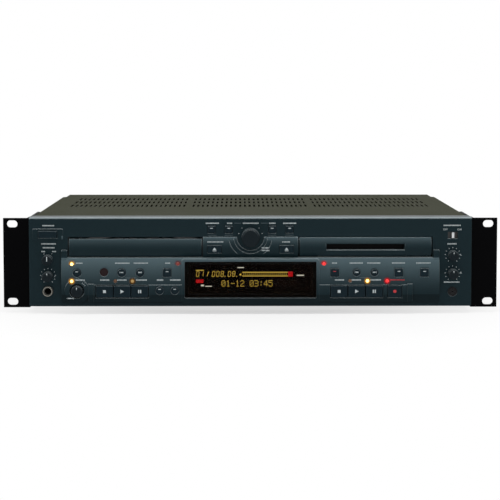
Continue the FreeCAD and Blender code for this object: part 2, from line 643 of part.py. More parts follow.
def md_slot_flap():
    """The sprung dust flap that a disc pushes inwards; it hangs on two pins."""
    body = new_body("md_slot_flap", x=dim.tray_x, y=back(dim.flap_back), z=up(dim.flap_hang_up))
    side = flap_half()
    reach = side + dim.fit_gap + dim.flap_ear_thick
    extrude(body, "YZ", -reach, reach, Disc(0, 0, dim.pin_r))
    extrude(body, "XZ", -dim.flap_thick / 2, dim.flap_thick / 2,
            rect(-side, side, dim.flap_low_up - dim.flap_hang_up, dim.pin_r))


def chassis_pan():
    """The folded steel bottom with low side flanges, holes for the feet and the standoffs."""
    body = new_body("chassis_pan", y=face_y, z=dim.foot_tall)
    side = dim.cover_wide / 2 - dim.cover_step - dim.cover_thick - 0.1
    rear = dim.body_long - dim.sheet_thick
    extrude(body, "XY", 0, dim.sheet_thick, rect(-side, side, dim.face_deep, rear))
    for sign in (-1, 1):
        low, high = sorted((side * sign, (side - dim.sheet_thick) * sign), key=lambda item: item.value)
        extrude(body, "XY", dim.sheet_thick, dim.flange_tall, rect(low, high, dim.face_deep, rear))
    extrude(body, "XY", dim.sheet_thick, dim.flange_tall - 2,
            rect(-dim.flange_half, dim.flange_half, dim.face_deep, dim.face_deep + dim.sheet_thick))
    first = cut(body, "XY", -1, dim.sheet_thick + 1,
                centred(-side + 62, dim.body_long / 2 + 18, 3.0, 34.0))
    repeat(body, first, "H_Axis", size(7.0), 14)
    cut(body, "YZ", -side - 1, side + 1,
        Disc(dim.pan_screw_back, dim.pan_screw_up, dim.shank_r + dim.screw_gap))


def top_cover():
    """The folded steel cover: top and two sides, joggled in at the rear, with vent slots."""
    body = new_body("top_cover", y=face_y, z=dim.foot_tall)
    outer = dim.cover_wide / 2
    high = dim.face_tall - dim.cover_drop
    low = dim.cover_under
    step_back = dim.body_long - dim.cover_step_long
    inset = outer - dim.cover_step
    extrude(body, "XY", low, high, Outline([
        (-outer, dim.face_deep), (outer, dim.face_deep), (outer, step_back - dim.cover_step),
        (inset, step_back), (inset, dim.body_long), (-inset, dim.body_long),
        (-inset, step_back), (-outer, step_back - dim.cover_step)]))
    thick = dim.cover_thick
    dress(body, "Fillet", 1.4, lambda edge: edge.BoundBox.ZMin > high.value - 1e-4
          and edge.BoundBox.YMax - edge.BoundBox.YMin > 1 and abs(edge.BoundBox.Center.x) > 100)
    cut(body, "XY", low - 1, high - thick, Outline([
        (-outer + thick, dim.face_deep - 1), (outer - thick, dim.face_deep - 1),
        (outer - thick, step_back - dim.cover_step - thick / 2), (inset - thick, step_back - thick / 2),
        (inset - thick, dim.body_long + 1), (thick - inset, dim.body_long + 1),
        (thick - inset, step_back - thick / 2),
        (thick - outer, step_back - dim.cover_step - thick / 2)]))
    clear = dim.shank_r + dim.screw_gap
    cut(body, "YZ", -outer - 1, outer + 1, Disc(dim.pan_screw_back, dim.pan_screw_up, clear),
        *[Disc(depth, height, clear) for depth, height in bracket_screws()])
    across = int(dim.vent_slots.value)
    for group_place in (-1, 0, 1):
        start = dim.vent_group_pitch * group_place - dim.vent_pitch * ((across - 1) / 2)
        slot = cut(body, "XY", high - thick - 1, high + 1,
                   centred(start, dim.vent_front_back + dim.vent_long / 2, dim.vent_wide, dim.vent_long))
        vent_grid(body, slot, across)


def vent_grid(body, slot, across):
    """Slots side by side, in three rows from front to rear."""
    grid = body.newObject("PartDesign::MultiTransform", f"{body.Name}_grid")
    grid.Originals = [slot]
    row = body.newObject("PartDesign::LinearPattern", f"{body.Name}_across")
    row.Direction = (slot.Profile[0], ["H_Axis"])
    bind(row, "Length", dim.vent_pitch * (across - 1))
    row.Occurrences = across
    rows = body.newObject("PartDesign::LinearPattern", f"{body.Name}_rows")
    rows.Direction = (slot.Profile[0], ["V_Axis"])
    bind(rows, "Length", dim.vent_row_pitch * 2)
    rows.Occurrences = 3
    grid.Transformations = [row, rows]
    body.Tip = grid
    doc.recompute()


def rear_panel():
    """The flat steel back with a cut-out for each socket."""
    side = dim.cover_wide / 2 - dim.cover_step - dim.cover_thick - 0.1
    body = new_body("rear_panel", y=face_y, z=dim.foot_tall)
    high = dim.face_tall - dim.cover_drop - dim.cover_thick - 0.1
    rear = dim.body_long
    extrude(body, "XZ", rear - dim.sheet_thick, rear, rect(-side, side, 0, high))
    first = rear - dim.sheet_thick - 1
    cut(body, "XZ", first, rear + 1,
        centred(-dim.inlet_x, dim.inlet_up, dim.inlet_wide, dim.inlet_tall),
        centred(-dim.port_x, dim.port_up, dim.port_wide - 14, dim.port_tall - 2),
        *[centred(-dim.optical_x + dim.optical_wide * 1.4 * step, dim.phono_up,
                  dim.optical_wide, dim.optical_wide) for step in range(2)])
    cut(body, "XZ", first, rear + 1, *[Disc(x, height, dim.phono_r) for x, height in phonos()])
    cut(body, "XZ", first, rear + 1, *[Disc(x, dim.xlr_up, dim.xlr_r) for x in xlrs()])
    cut(body, "XZ", first, rear + 1,
        *[Disc(x, height, dim.shank_r + dim.screw_gap) for x, height, _ in rear_screws()])


def phonos():
    return [(dim.phono_x + dim.phono_pitch_x * column, dim.phono_up + dim.phono_pitch_up * row)
            for column in range(4) for row in range(2)]


def xlrs():
    return [dim.xlr_x - dim.xlr_pitch / 2 + dim.xlr_pitch * column for column in range(2)]


def rack_ears():
    """Two steel brackets: a slotted front plate and a joggled flange along the side."""
    near = half + dim.ear_gap
    far = dim.cover_wide / 2 + 0.1
    thick = dim.ear_thick
    joggle = dim.face_deep + 0.4
    low = dim.foot_tall - dim.ear_low
    ears = []
    for sign, name in ((-1, "left_ear"), (1, "right_ear")):
        body = doc.addObject("PartDesign::Body", name)
        corners = [
            (dim.ear_wide / 2, dim.ear_back), (dim.ear_wide / 2, dim.ear_back + thick),
            (near + thick, dim.ear_back + thick), (near + thick, joggle),
            (far + thick, joggle + 3), (far + thick, dim.ear_flange_back),
            (far, dim.ear_flange_back), (far, joggle + 3), (near, joggle), (near, dim.ear_back)]
        extrude(body, "XY", low, low + dim.ear_tall,
                Outline([(u * sign, back(v)) for u, v in corners]))
        centre = low + dim.ear_tall / 2
        cut(body, "XZ", back(dim.ear_back) - 1, back(dim.ear_back) + thick + 1, *[
            rounded(dim.hole_span_x / 2 * sign, centre + dim.hole_span_z / 2 * row,
                    dim.hole_long, dim.hole_tall, dim.hole_tall / 2 - 0.02) for row in (-1, 1)])
        inner, outer = sorted(((far - 1) * sign, (far + thick + 1) * sign), key=lambda item: item.value)
        cut(body, "YZ", inner, outer, *[
            Disc(back(depth), up(height), dim.shank_r + dim.screw_gap)
            for depth, height in bracket_screws()])
        ears.append(body)
    return group("rack_ears", ears)


def display_window():
    """The smoked plate over the display."""
    window_up = dim.window_low_up + dim.window_tall / 2
    body = new_body("display_window", y=face_y, z=up(window_up))
    front = -(dim.bezel_proud - dim.window_recess)
    extrude(body, "XZ", front, front + dim.window_thick,
            rounded(0, 0, dim.window_wide, dim.window_tall, 1.0))


def display_tube():
    """The flat glass display behind the window, with its two rows of leads."""
    window_up = dim.window_low_up + dim.window_tall / 2
    body = new_body("display_tube", y=face_y, z=up(window_up))
    wide = dim.window_wide - dim.window_ledge * 2 - dim.tube_side
    tall = dim.window_tall - dim.window_ledge * 2 - 1
    rear = dim.board_back - dim.tube_gap
    extrude(body, "XZ", rear - dim.tube_thick, rear, centred(0, 0, wide, tall))
    dress(body, "Fillet", 0.6, at_depth(rear - dim.tube_thick))


def feet():
    """Four moulded feet."""
    items = []
    for x in (-dim.foot_in_x, dim.foot_in_x):
        for depth in (dim.foot_front_back, dim.foot_rear_back):
            foot = rod("Z", x, back(depth), 0, dim.foot_tall, dim.foot_round)
            hollow = rod("Z", x, back(depth), 0, 3.0, dim.foot_round - 5)
            items.append(carve(foot, hollow))
    return group("feet", items)


def screw(x, y, z, axis, sign):
    """A pan-head screw seated at a point, with its cross cut in the head."""
    along = {"X": (1, 0, 0), "Y": (0, 1, 0), "Z": (0, 0, 1)}[axis]

    def shifted(amount):
        return [size(place) + size(amount) * step for place, step in zip((x, y, z), along)]

    head_start = 0 if sign > 0 else -dim.head_tall
    head = rod(axis, *shifted(head_start), dim.head_tall, dim.head_r)
    shank_start = -dim.shank_long if sign > 0 else 0
    shank = rod(axis, *shifted(shank_start), dim.shank_long, dim.shank_r)
    outer = dim.head_tall * sign
    inner = (dim.head_tall - dim.cross_deep) * sign
    low, high = sorted((outer, inner), key=lambda item: item.value)
    tools = []
    for long_axis in range(3):
        if along[long_axis]:
            continue
        spans = []
        for index, place in enumerate((x, y, z)):
            if along[index]:
                spans += [size(place) + low, size(place) + high]
            else:
                reach = dim.cross_long / 2 if index == long_axis else dim.cross_wide / 2
                spans += [size(place) - reach, size(place) + reach]
        tools.append(block(*spans))
    return carve(join(head, shank), *tools)


def bracket_screws():
    """Depth and height of the screws that hold each rack bracket."""
    middle = dim.ear_tall / 2 - dim.ear_low
    return [(depth, middle + dim.bracket_screw_rise * row)
            for depth in (dim.bracket_screw_front, dim.bracket_screw_rear) for row in (-1, 1)]


def rear_screws():
    """X, height and stand-off of the screws in the rear panel."""
    edge = dim.cover_wide / 2 - dim.cover_step - dim.cover_thick - dim.rear_screw_in
    high = dim.face_tall - dim.rear_screw_drop
    port = dim.port_wide / 2 - dim.port_screw_in
    places = [(edge * side, height, 0) for side in (-1, 1) for height in (dim.rear_screw_low, high)]
    places += [(dim.rear_screw_mid * side, high, 0) for side in (-1, 1)]
    places += [(-dim.port_x + port * side, dim.port_up, 1.2) for side in (-1, 1)]
    places += [(x + dim.xlr_screw * side, dim.xlr_up + dim.xlr_screw * side, 2.0)
               for x in xlrs() for side in (-1, 1)]
    return places


def screws():
    """Screws of the cover, the rack brackets and the rear panel."""
    items = []
    ear_face = dim.cover_wide / 2 + 0.1 + dim.ear_thick
    for side in (-1, 1):
        items += [screw(ear_face * side, back(depth), up(height), "X", side)
                  for depth, height in bracket_screws()]
        items.append(screw(dim.cover_wide / 2 * side, back(dim.pan_screw_back),
                           up(dim.pan_screw_up), "X", side))
    items += [screw(x, back(dim.body_long + out), up(height), "Y", 1)
              for x, height, out in rear_screws()]
    return group("screws", items)


def tact_switch(x, height):
    """A push switch on the front board, under one button."""
    rear = back(dim.board_back)
    base = block(x - 3, x + 3, rear - dim.switch_tall + 1.2, rear, up(height) - 3, up(height) + 3)
    tip = rod("Y", x, rear - dim.switch_tall, up(height), 1.5, 1.7)
    return join(base, tip)


def pot_body(x, height, play=0.4):
    """A control on the front board whose bush takes a knob's shaft."""
    rear = back(dim.board_back)
    reach = dim.pot_wide / 2
    case = block(x - reach, x + reach, rear - dim.pot_long, rear, up(height) - reach, up(height) + reach)
    bore = rod("Y", x, rear - dim.pot_long, up(height), dim.shaft_in + play,
               dim.knob_shaft_r + dim.shaft_gap)
    return carve(case, bore)


def circuit_boards():
    """Front, main and power boards with their switches, controls, transformer and capacitors."""
    front = doc.addObject("PartDesign::Body", "front_board")
    top = dim.frame_base_up - 0.4
    edge = half - dim.rim_wall - 1
    inner = dim.tray_x + dim.tray_opening_wide / 2 + 5
    mid = dim.middle_half - 1.6
    high = dim.face_tall - dim.rim_wall - 1
    low = dim.rim_wall + 0.3
    extrude(front, "XZ", back(dim.board_back), back(dim.board_back + dim.board_thick), Outline([
        (-edge, up(low)), (edge, up(low)), (edge, up(high)), (inner, up(high)),
        (inner, up(top)), (mid, up(top)), (mid, up(high)), (-mid, up(high)),
        (-mid, up(top)), (-inner, up(top)), (-inner, up(high)), (-edge, up(high))]))
    cut(front, "XZ", back(dim.board_back) - 1, back(dim.board_back + dim.board_thick) + 1,
        Disc(-dim.column_x, up(dim.phones_up), dim.phones_nut_r + 1))
    main = block(-40, 150, back(150), back(272), up(9), up(10.6))
    power = block(-200, -52, back(196), back(272), up(9), up(10.6))
    core = block(-196, -146, back(204), back(262), up(10.6), up(52))
    winding = block(-190, -152, back(214), back(252), up(52), up(60))
    cans = [rod("Z", -130 + 19 * step, back(240), up(10.6), 30, 7.5) for step in range(4)]
    posts = [rod("Z", x, back(depth), up(dim.sheet_thick), size(9) - dim.sheet_thick, 3)
             for x, depth in ((-30, 158), (140, 158), (-30, 266), (140, 266), (-192, 200), (-60, 200),
                              (-60, 266))]
    chips = [block(x, x + 20, back(200), back(220), up(10.6), up(13)) for x in (0, 40, 90)]
    switches = [tact_switch(x, height) for _, x, height, *_ in BUTTONS]
    controls = [pot_body(x, height) for _, x, height, *_ in KNOBS]
    controls.append(pot_body(size(0), dim.dial_up, 0.4 + dim.jog_press))
    reach = dim.timer_slot_wide / 2
    timer = block(dim.column_x - reach, dim.column_x + reach, back(dim.board_back - 4.2),
                  back(dim.board_back), up(dim.timer_up) - 4, up(dim.timer_up) + 4)
    return group("circuit_boards", [front, main, power, core, winding, timer]
                 + cans + posts + chips + switches + controls)


def button(label, x, height, wide, tall, proud, is_round):
    """A cap that fills its opening, with a lip behind the wall and a stem to its switch."""
    body = new_body(label, x=x, y=face_y, z=up(height))
    lip = dim.face_wall + dim.rest_gap
    cap = Disc(0, 0, wide / 2) if is_round else centred(0, 0, wide, tall)
    extrude(body, "XZ", -proud, lip, cap)
    dress(body, "Fillet", dim.edge_round, at_depth(-proud))
    extrude(body, "XZ", lip, lip + dim.lip_thick,
            centred(0, 0, wide, tall + dim.lip_tall * 2))
    end = dim.board_back - dim.switch_tall - dim.switch_gap
    reach = dim.stem_half
    extrude(body, "XZ", lip + dim.lip_thick, end, rect(-reach, reach, -reach, reach))


def knob(label, x, height, radius, out, foot):
    """A turned knob with grooves round its edge, a pointer line and its shaft."""
    body = new_body(label, x=x, y=face_y, z=up(height))
    bevel = dim.knob_bevel
    rear = dim.board_back - dim.pot_long + dim.shaft_in
    shaft = dim.knob_shaft_r
    skirt = -(dim.block_proud - 0.6 + foot) if label == "pitch_knob" else -foot
    revolve(body, Outline([
        (0, -out), (radius - bevel, -out), (radius, -out + bevel), (radius, skirt),
        (shaft, skirt), (shaft, rear), (0, rear)]))
    groove = cut(body, "XZ", -out + bevel + 0.4, skirt - 0.8, Disc(0, radius + 0.15, 0.45))
    ring_of(body, groove, 24)
    cut(body, "XZ", -out - 1, -out + 0.4, rect(-0.4, 0.4, radius * 0.25, radius + 1))


def jog():
    """The push shaft and the dial that turns on it."""
    shaft = new_body("jog_shaft", y=face_y, z=up(dim.dial_up))
    front = -(dim.jog_out - dim.jog_skin - dim.rest_gap)
    rear = dim.board_back - dim.pot_long + dim.shaft_in
    radius = dim.knob_shaft_r
    extrude(shaft, "XZ", front, rear, Disc(0, 0, radius))
    dial = new_body("jog_dial", y=face_y, z=up(dim.dial_up))
    outer = dim.jog_r
    skin = dim.jog_skin
    bore = radius + dim.shaft_gap
    bevel = dim.knob_bevel
    revolve(dial, Outline([
        (0, -dim.jog_out), (outer - bevel * 2, -dim.jog_out), (outer, -dim.jog_out + bevel * 2),
        (outer, -dim.jog_foot), (outer - 2, -dim.jog_foot), (outer - 2, -dim.jog_out + skin),
        (bore + 1.6, -dim.jog_out + skin), (bore + 1.6, -dim.jog_foot - 1), (bore, -dim.jog_foot - 1),
        (bore, -dim.jog_out + skin), (0, -dim.jog_out + skin)]))
    groove = cut(dial, "XZ", -dim.jog_out + bevel * 2 + 0.6, -dim.jog_foot - 1.5,
                 Disc(0, outer + 0.2, 0.5))
    ring_of(dial, groove, 48)


def timer_switch_slider():
    """The small sideways slide of the timer switch."""
    body = new_body("timer_switch_slider", x=dim.column_x, y=face_y, z=up(dim.timer_up))
    lip = dim.face_wall + dim.rest_gap
    extrude(body, "XZ", -dim.timer_proud, lip, centred(0, 0, dim.timer_cap_wide, dim.timer_cap_tall))
    extrude(body, "XZ", lip, lip + 1.0,
            centred(0, 0, dim.timer_slot_wide + dim.timer_throw * 2 + 0.8, dim.timer_slot_tall + 1.6))
    extrude(body, "XZ", lip + 1.0, dim.board_back - 4.2 - dim.rest_gap, centred(0, 0, 4, 3))


def tray_front():
    """The crowned front of the disc tray."""
    body = new_body("tray_front", x=-dim.tray_x, y=face_y, z=dim.foot_tall)
    side = dim.tray_front_wide / 2
    extrude(body, "YZ", -side, side,
            crowned(dim.tray_front_thick, -dim.upper_proud, dim.upper_crown,
                    dim.tray_front_low_up, dim.tray_front_top_up))


def cd_tray():
    """The sliding tray with its two disc wells, its slot for the hub and its toothed rack."""
    body = new_body("cd_tray", x=-dim.tray_x, y=face_y, z=dim.foot_tall)
    side = dim.tray_wide / 2
    front = dim.tray_front_thick
    rear = front + dim.tray_long
    top = dim.tray_low_up + dim.tray_thick
    extrude(body, "XY", dim.tray_low_up, top, rect(-side, side, front, rear))
    cut(body, "XY", top - dim.well_deep, top + 1, Disc(0, dim.disc_back, dim.well_r))
    floor = top - dim.well_deep - dim.small_well_deep
    cut(body, "XY", floor, top, Disc(0, dim.disc_back, dim.small_well_r))
    slot = dim.tray_slot_half
    cut(body, "XY", dim.tray_low_up - 1, top + 1,
        rect(-slot, slot, dim.disc_back - dim.tray_slot_front, rear + 1))
    # Hand recesses at the sides of the well
    cut(body, "XY", top - dim.well_deep - 1.5, top + 1,
        centred(-side + 8, dim.disc_back, 10, 24), centred(side - 8, dim.disc_back, 10, 24))
    rack_inner = -dim.rack_x + dim.module
    extrude(body, "XY", dim.tray_low_up - dim.rack_tall, dim.tray_low_up,
            rect(-dim.rack_x - dim.rack_thick, rack_inner - 0.2, dim.rack_front_back, rear))
    pitch = dim.module * math.pi
    # A gap of the rack is centred on a tooth of the gear when the tray is closed.
    first_gap = dim.gear_back + pitch * round((dim.rack_front_back.value + 2 - dim.gear_back.value)
                                              / pitch.value)
    teeth = 1 + int((rear.value - first_gap.value) / pitch.value)
    lean = dim.module * math.tan(math.radians(20))
    half_gap = pitch / 4 + dim.backlash / 4
    root = -dim.rack_x - dim.module * 1.2
    gap = cut(body, "XY", dim.tray_low_up - dim.rack_tall - 1, dim.tray_low_up, Outline([
        (root, first_gap - half_gap + lean * 1.2), (rack_inner + 0.5, first_gap - half_gap - lean * 1.5),
        (rack_inner + 0.5, first_gap + half_gap + lean * 1.5), (root, first_gap + half_gap - lean * 1.2)]))
    repeat(body, gap, "V_Axis", pitch, teeth)


def tray_drive_gear():
    """The pinion that drives the tray's rack; involute teeth on a plain hub and pin."""
    radius = dim.module * dim.gear_teeth / 2
    gear = doc.addObject("Part::Feature", "tray_drive_gear")
    gear.Label = "tray_drive_gear"
    tall = dim.rack_tall.value - 0.2
    outline = gear_outline(radius.value, int(dim.gear_teeth.value), dim.module.value, dim.backlash.value)
    wheel = Part.Face(Part.makePolygon(outline)).extrude(Vector(0, 0, tall))
    pin_hole = Part.makeCylinder(2.08, tall, Vector(0, 0, 0))
    gear.Shape = wheel.cut(pin_hole)
    bind(gear, "Placement.Base.x", -dim.tray_x - dim.rack_x + radius)
    bind(gear, "Placement.Base.y", back(dim.gear_back))
    bind(gear, "Placement.Base.z", up(dim.tray_low_up - dim.rack_tall))
    pieces.append(gear)


def gear_outline(radius, teeth, module, backlash):
    """Involute flanks of a 20 degree gear with a tooth on the -X axis."""
    base = radius * math.cos(math.radians(20))
    tip = radius + module * 0.8
    root = radius - module * 1.1
    spread = math.tan(math.radians(20)) - math.radians(20)
    half_tooth = math.pi / (2 * teeth) - backlash / (4 * radius)
    steps = 5
    points = []
    for tooth in range(teeth):
        centre = math.pi + 2 * math.pi * tooth / teeth
        flank = []
        for step in range(steps):
            reach = base + (tip - base) * step / (steps - 1)
            turn_angle = math.sqrt(max((reach / base) ** 2 - 1, 0))
            involute = turn_angle - math.atan(turn_angle)
            flank.append((reach, half_tooth + spread - involute))
        flank.insert(0, (root, half_tooth + spread))
        for reach, angle in flank:
            points.append((reach, centre - angle))
        for reach, angle in reversed(flank):
            points.append((reach, centre + angle))
    loop = [Vector(reach * math.cos(angle), reach * math.sin(angle), 0) for reach, angle in points]
    return loop + loop[:1]


def cd_drive_frame():
    """Base, side walls, glides, clamp bridge, rods, gear pin and legs of the disc drive."""
    body = new_body("cd_drive_frame", x=-dim.tray_x, y=face_y, z=dim.foot_tall)
    inner = dim.tray_wide / 2 + dim.frame_gap
    outer = inner + dim.frame_wall
    front = dim.frame_front_back
    rear = front + dim.frame_long
    low = dim.frame_base_up
    floor = low + dim.frame_base_thick
    extrude(body, "XY", low, floor, rect(-outer, outer, front, rear))
    cut(body, "XY", low - 1, floor + 1,
        rect(-dim.window_half, dim.window_half, dim.window_front_back, dim.window_rear_back))
    for sign in (-1, 1):
        a, b = sorted((inner * sign, outer * sign), key=lambda item: item.value)
        extrude(body, "XY", floor, dim.frame_top_up, rect(a, b, front, rear))
        a, b = sorted(((dim.rack_x + dim.rack_thick + dim.glide_gap) * sign, inner * sign), key=lambda item: item.value)
        top = dim.tray_low_up - dim.glide_gap
        extrude(body, "XY", top - dim.ledge_thick, top, rect(a, b, front, rear))
    extrude(body, "XY", dim.frame_top_up, dim.frame_top_up + dim.bridge_thick,
            rect(-outer, outer, dim.disc_back - dim.bridge_half, dim.disc_back + dim.bridge_half))
    cut(body, "XY", dim.frame_top_up - 1, dim.frame_top_up + dim.bridge_thick + 1,
        Disc(0, dim.disc_back, dim.puck_neck_r + dim.puck_hole_gap))
    for depth in (dim.window_front_back - 4, dim.window_rear_back):
        extrude(body, "XZ", depth, depth + 4,
                rect(-dim.window_half, dim.window_half, dim.rod_up - 4, low))
    for sign in (-1, 1):
        extrude(body, "XZ", dim.window_front_back, dim.window_rear_back,
                Disc(dim.rod_x * sign, dim.rod_up, dim.rod_r))
    extrude(body, "XY", floor, dim.tray_low_up - 0.4,
            Disc(-dim.rack_x + dim.module * dim.gear_teeth / 2, dim.gear_back, 2.0))
    side = dim.leg_side
    extrude(body, "XY", dim.sheet_thick, low,
            *[centred((outer - side) * sign, depth, side, side)
              for sign in (-1, 1) for depth in (dim.face_deep + 8, rear - 6)])
    # Seat of the spindle motor, carried across the window
    extrude(body, "XY", low - 6, low - 4.5,
            rect(-dim.window_half - 2, dim.window_half + 2, dim.window_front_back - 4,
                 dim.disc_back + dim.motor_r + 2))


def cd_turntable():
    """The hub that the disc sits on, with its centring cone and spindle."""
    body = new_body("cd_turntable", x=-dim.tray_x, y=back(dim.disc_back), z=dim.foot_tall)
    top = dim.hub_top_up
    turn(body, "XZ", Outline([
        (0, dim.motor_top_up - 3), (dim.spindle_r, dim.motor_top_up - 3),
        (dim.spindle_r, top - dim.hub_thick - 2), (5, top - dim.hub_thick - 2), (5, top - dim.hub_thick),
        (dim.hub_r, top - dim.hub_thick), (dim.hub_r, top), (dim.cone_r, top),
        (dim.cone_r, top + 0.8), (dim.cone_top_r, top + dim.cone_tall), (0, top + dim.cone_tall)]))


def disc_clamp():
    """The loose puck in the bridge that holds the disc down on the hub."""
    body = new_body("disc_clamp", x=-dim.tray_x, y=back(dim.disc_back), z=dim.foot_tall)
    flange_low = dim.frame_top_up + dim.bridge_thick + dim.puck_rest
    neck = dim.puck_neck_r
    recess_top = dim.puck_low_up + 2.4
    turn(body, "XZ", Outline([
        (0, recess_top), (dim.cone_r + 1.5, recess_top), (dim.cone_r + 1.5, dim.puck_low_up),
        (neck, dim.puck_low_up), (neck, flange_low), (dim.puck_flange_r, flange_low),
        (dim.puck_flange_r, flange_low + dim.puck_flange_thick), (0, flange_low + dim.puck_flange_thick)]))


def cd_pickup_sled():
    """The carriage of the disc pickup, bored for its two rods, with its lens on top."""
    sled("cd_pickup_sled", -dim.tray_x, dim.sled_half, dim.sled_front_back, dim.sled_long,
         dim.sled_low_up, dim.sled_top_up, dim.rod_x, dim.rod_up, dim.rod_r)


def sled(label, x, reach, front, length, low, high, rod_x, rod_up, rod_r):
    body = new_body(label, x=x, y=face_y, z=dim.foot_tall)
    extrude(body, "XY", low, high, rect(-reach, reach, front, front + length))
    for sign in (-1, 1):
        cut(body, "XZ", front - 1, front + length + 1, Disc(rod_x * sign, rod_up, rod_r + dim.rod_fit))
    extrude(body, "XY", high, high + dim.lens_tall, Disc(0, front + length / 3, dim.lens_r))


def md_drive_frame():
    """Base, walls, rods and legs of the minidisc drive."""
    body = new_body("md_drive_frame", x=dim.tray_x, y=face_y, z=dim.foot_tall)
    outer = dim.md_frame_half + dim.md_frame_wall
    front = dim.md_frame_front
    rear = front + dim.md_frame_long
    low = dim.md_base_up
    floor = low + dim.md_base_thick
    start = dim.board_back + dim.board_thick + 1.5
    extrude(body, "XY", low, floor, rect(-outer, outer, start, rear))
    for sign in (-1, 1):
        a, b = sorted((dim.md_frame_half * sign, outer * sign), key=lambda item: item.value)
        extrude(body, "XY", floor, dim.md_frame_top_up, rect(a, b, start, rear))
    extrude(body, "XY", floor, dim.md_frame_top_up, rect(-outer, outer, rear - 1.2, rear))
    extrude(body, "XZ", dim.md_disc_back + 11, dim.md_disc_back + 12.5,
            rect(-18, 18, floor, dim.md_rod_up + 2))
    cut(body, "XZ", dim.md_disc_back + 10, dim.md_disc_back + 13,
        rect(-7, 7, dim.md_rod_up - 2.8, dim.md_rod_up + 3))
    for sign in (-1, 1):
        extrude(body, "XZ", dim.md_disc_back + 12, rear - 1,
                Disc(dim.md_rod_x * sign, dim.md_rod_up, dim.md_rod_r))
    side = dim.leg_side
    extrude(body, "XY", dim.sheet_thick, low,
            *[centred((outer - side) * sign, depth, side, side)
              for sign in (-1, 1) for depth in (start + 10, rear - 6)])
    # Upright slots that guide the holder's pins
    travel = dim.holder_drop + dim.holder_pin_r + dim.glide_gap
    for depth in holder_pins():
        cut(body, "YZ", -outer - 1, outer + 1,
            rect(depth - dim.holder_pin_r - dim.pin_gap, depth + dim.holder_pin_r + dim.pin_gap,
                 dim.holder_pin_up - travel, dim.holder_pin_up + dim.holder_pin_r + dim.glide_gap))


def holder_pins():
    rear = dim.holder_front_back + dim.holder_long
    return [dim.holder_front_back + dim.holder_pin_in, rear - dim.holder_pin_in]


def md_holder():
    """The folded sheet that a minidisc slides into, which then lowers on to the hub."""
    body = new_body("md_holder", x=dim.tray_x, y=face_y, z=dim.foot_tall)
    side = dim.holder_half
    front = dim.holder_front_back
    rear = front + dim.holder_long
    low, high = dim.holder_low_up, dim.holder_top_up
    wall = dim.holder_sheet
    extrude(body, "XZ", front, rear, rect(-side, side, low, high))
    cut(body, "XZ", front - 1, rear - wall, rect(-side + wall, side - wall, low + wall, high - wall))
    reach = dim.md_frame_half + dim.md_frame_wall + 0.5
    for sign in (-1, 1):
        inner, outer = sorted((side * sign, reach * sign), key=lambda item: item.value)
        extrude(body, "YZ", inner, outer,
                *[Disc(depth, dim.holder_pin_up, dim.holder_pin_r) for depth in holder_pins()])
    mouth = dim.holder_mouth
    cut(body, "XY", low - 1, low + wall + 0.1, rect(-mouth, mouth, dim.md_disc_back - 14, rear + 1))


def md_turntable():
    """The small hub of the minidisc drive."""
    body = new_body("md_turntable", x=dim.tray_x, y=back(dim.md_disc_back), z=dim.foot_tall)
    top = dim.md_hub_top_up
    turn(body, "XZ", Outline([
        (0, dim.md_motor_top_up - 2), (dim.spindle_r, dim.md_motor_top_up - 2),
        (dim.spindle_r, top - dim.md_hub_thick), (dim.md_hub_r, top - dim.md_hub_thick),
        (dim.md_hub_r, top), (3, top), (3, top + 0.8), (2.2, top + 1.2), (0, top + 1.2)]))


def md_pickup_sled():
    """The carriage of the minidisc pickup on its two rods."""
    sled("md_pickup_sled", dim.tray_x, dim.md_sled_half, dim.md_sled_front_back, dim.md_sled_long,
         dim.md_sled_low_up, dim.md_sled_top_up, dim.md_rod_x, dim.md_rod_up, dim.md_rod_r)


def spindle_motor(x, depth, base_up, top_up, radius):
    """A motor can with a bore in its top for the spindle."""
    can = rod("Z", x, back(depth), up(base_up), top_up - base_up, radius)
    bore = rod("Z", x, back(depth), up(top_up) - 4, 5, dim.spindle_r + dim.spindle_fit)
    return carve(can, bore)


def drive_motors():
    """Spindle motors of both drives, the tray motor and the two sled motors."""
    seat = dim.frame_base_up - 4.5
    items = [
        spindle_motor(-dim.tray_x, dim.disc_back, seat, dim.motor_top_up, dim.motor_r),
        spindle_motor(dim.tray_x, dim.md_disc_back, dim.md_base_up + dim.md_base_thick,
                      dim.md_motor_top_up, dim.md_motor_r),
        rod("Z", -dim.tray_x - 36, back(34), up(dim.frame_base_up - 16), 16, 8),
        rod("Z", -dim.tray_x + 38, back(120), up(dim.frame_base_up - 14), 14, 7),
        rod("Z", dim.tray_x + 30, back(80), up(dim.md_base_up - 12), 12, 6)]
    return group("drive_motors", items)


def indicator_leds():
    """Lamps in their holders, from the front board to the face."""
    items = []
    for x, height, proud in LAMPS:
        neck = dim.face_wall + dim.rest_gap
        lamp = rod("Y", x, back(-proud), up(height), neck + proud, dim.lamp_r)
        holder = rod("Y", x, back(neck), up(height), dim.board_back - neck, dim.lamp_holder_r)
        items.append(join(lamp, holder))
    return group("indicator_leds", items)


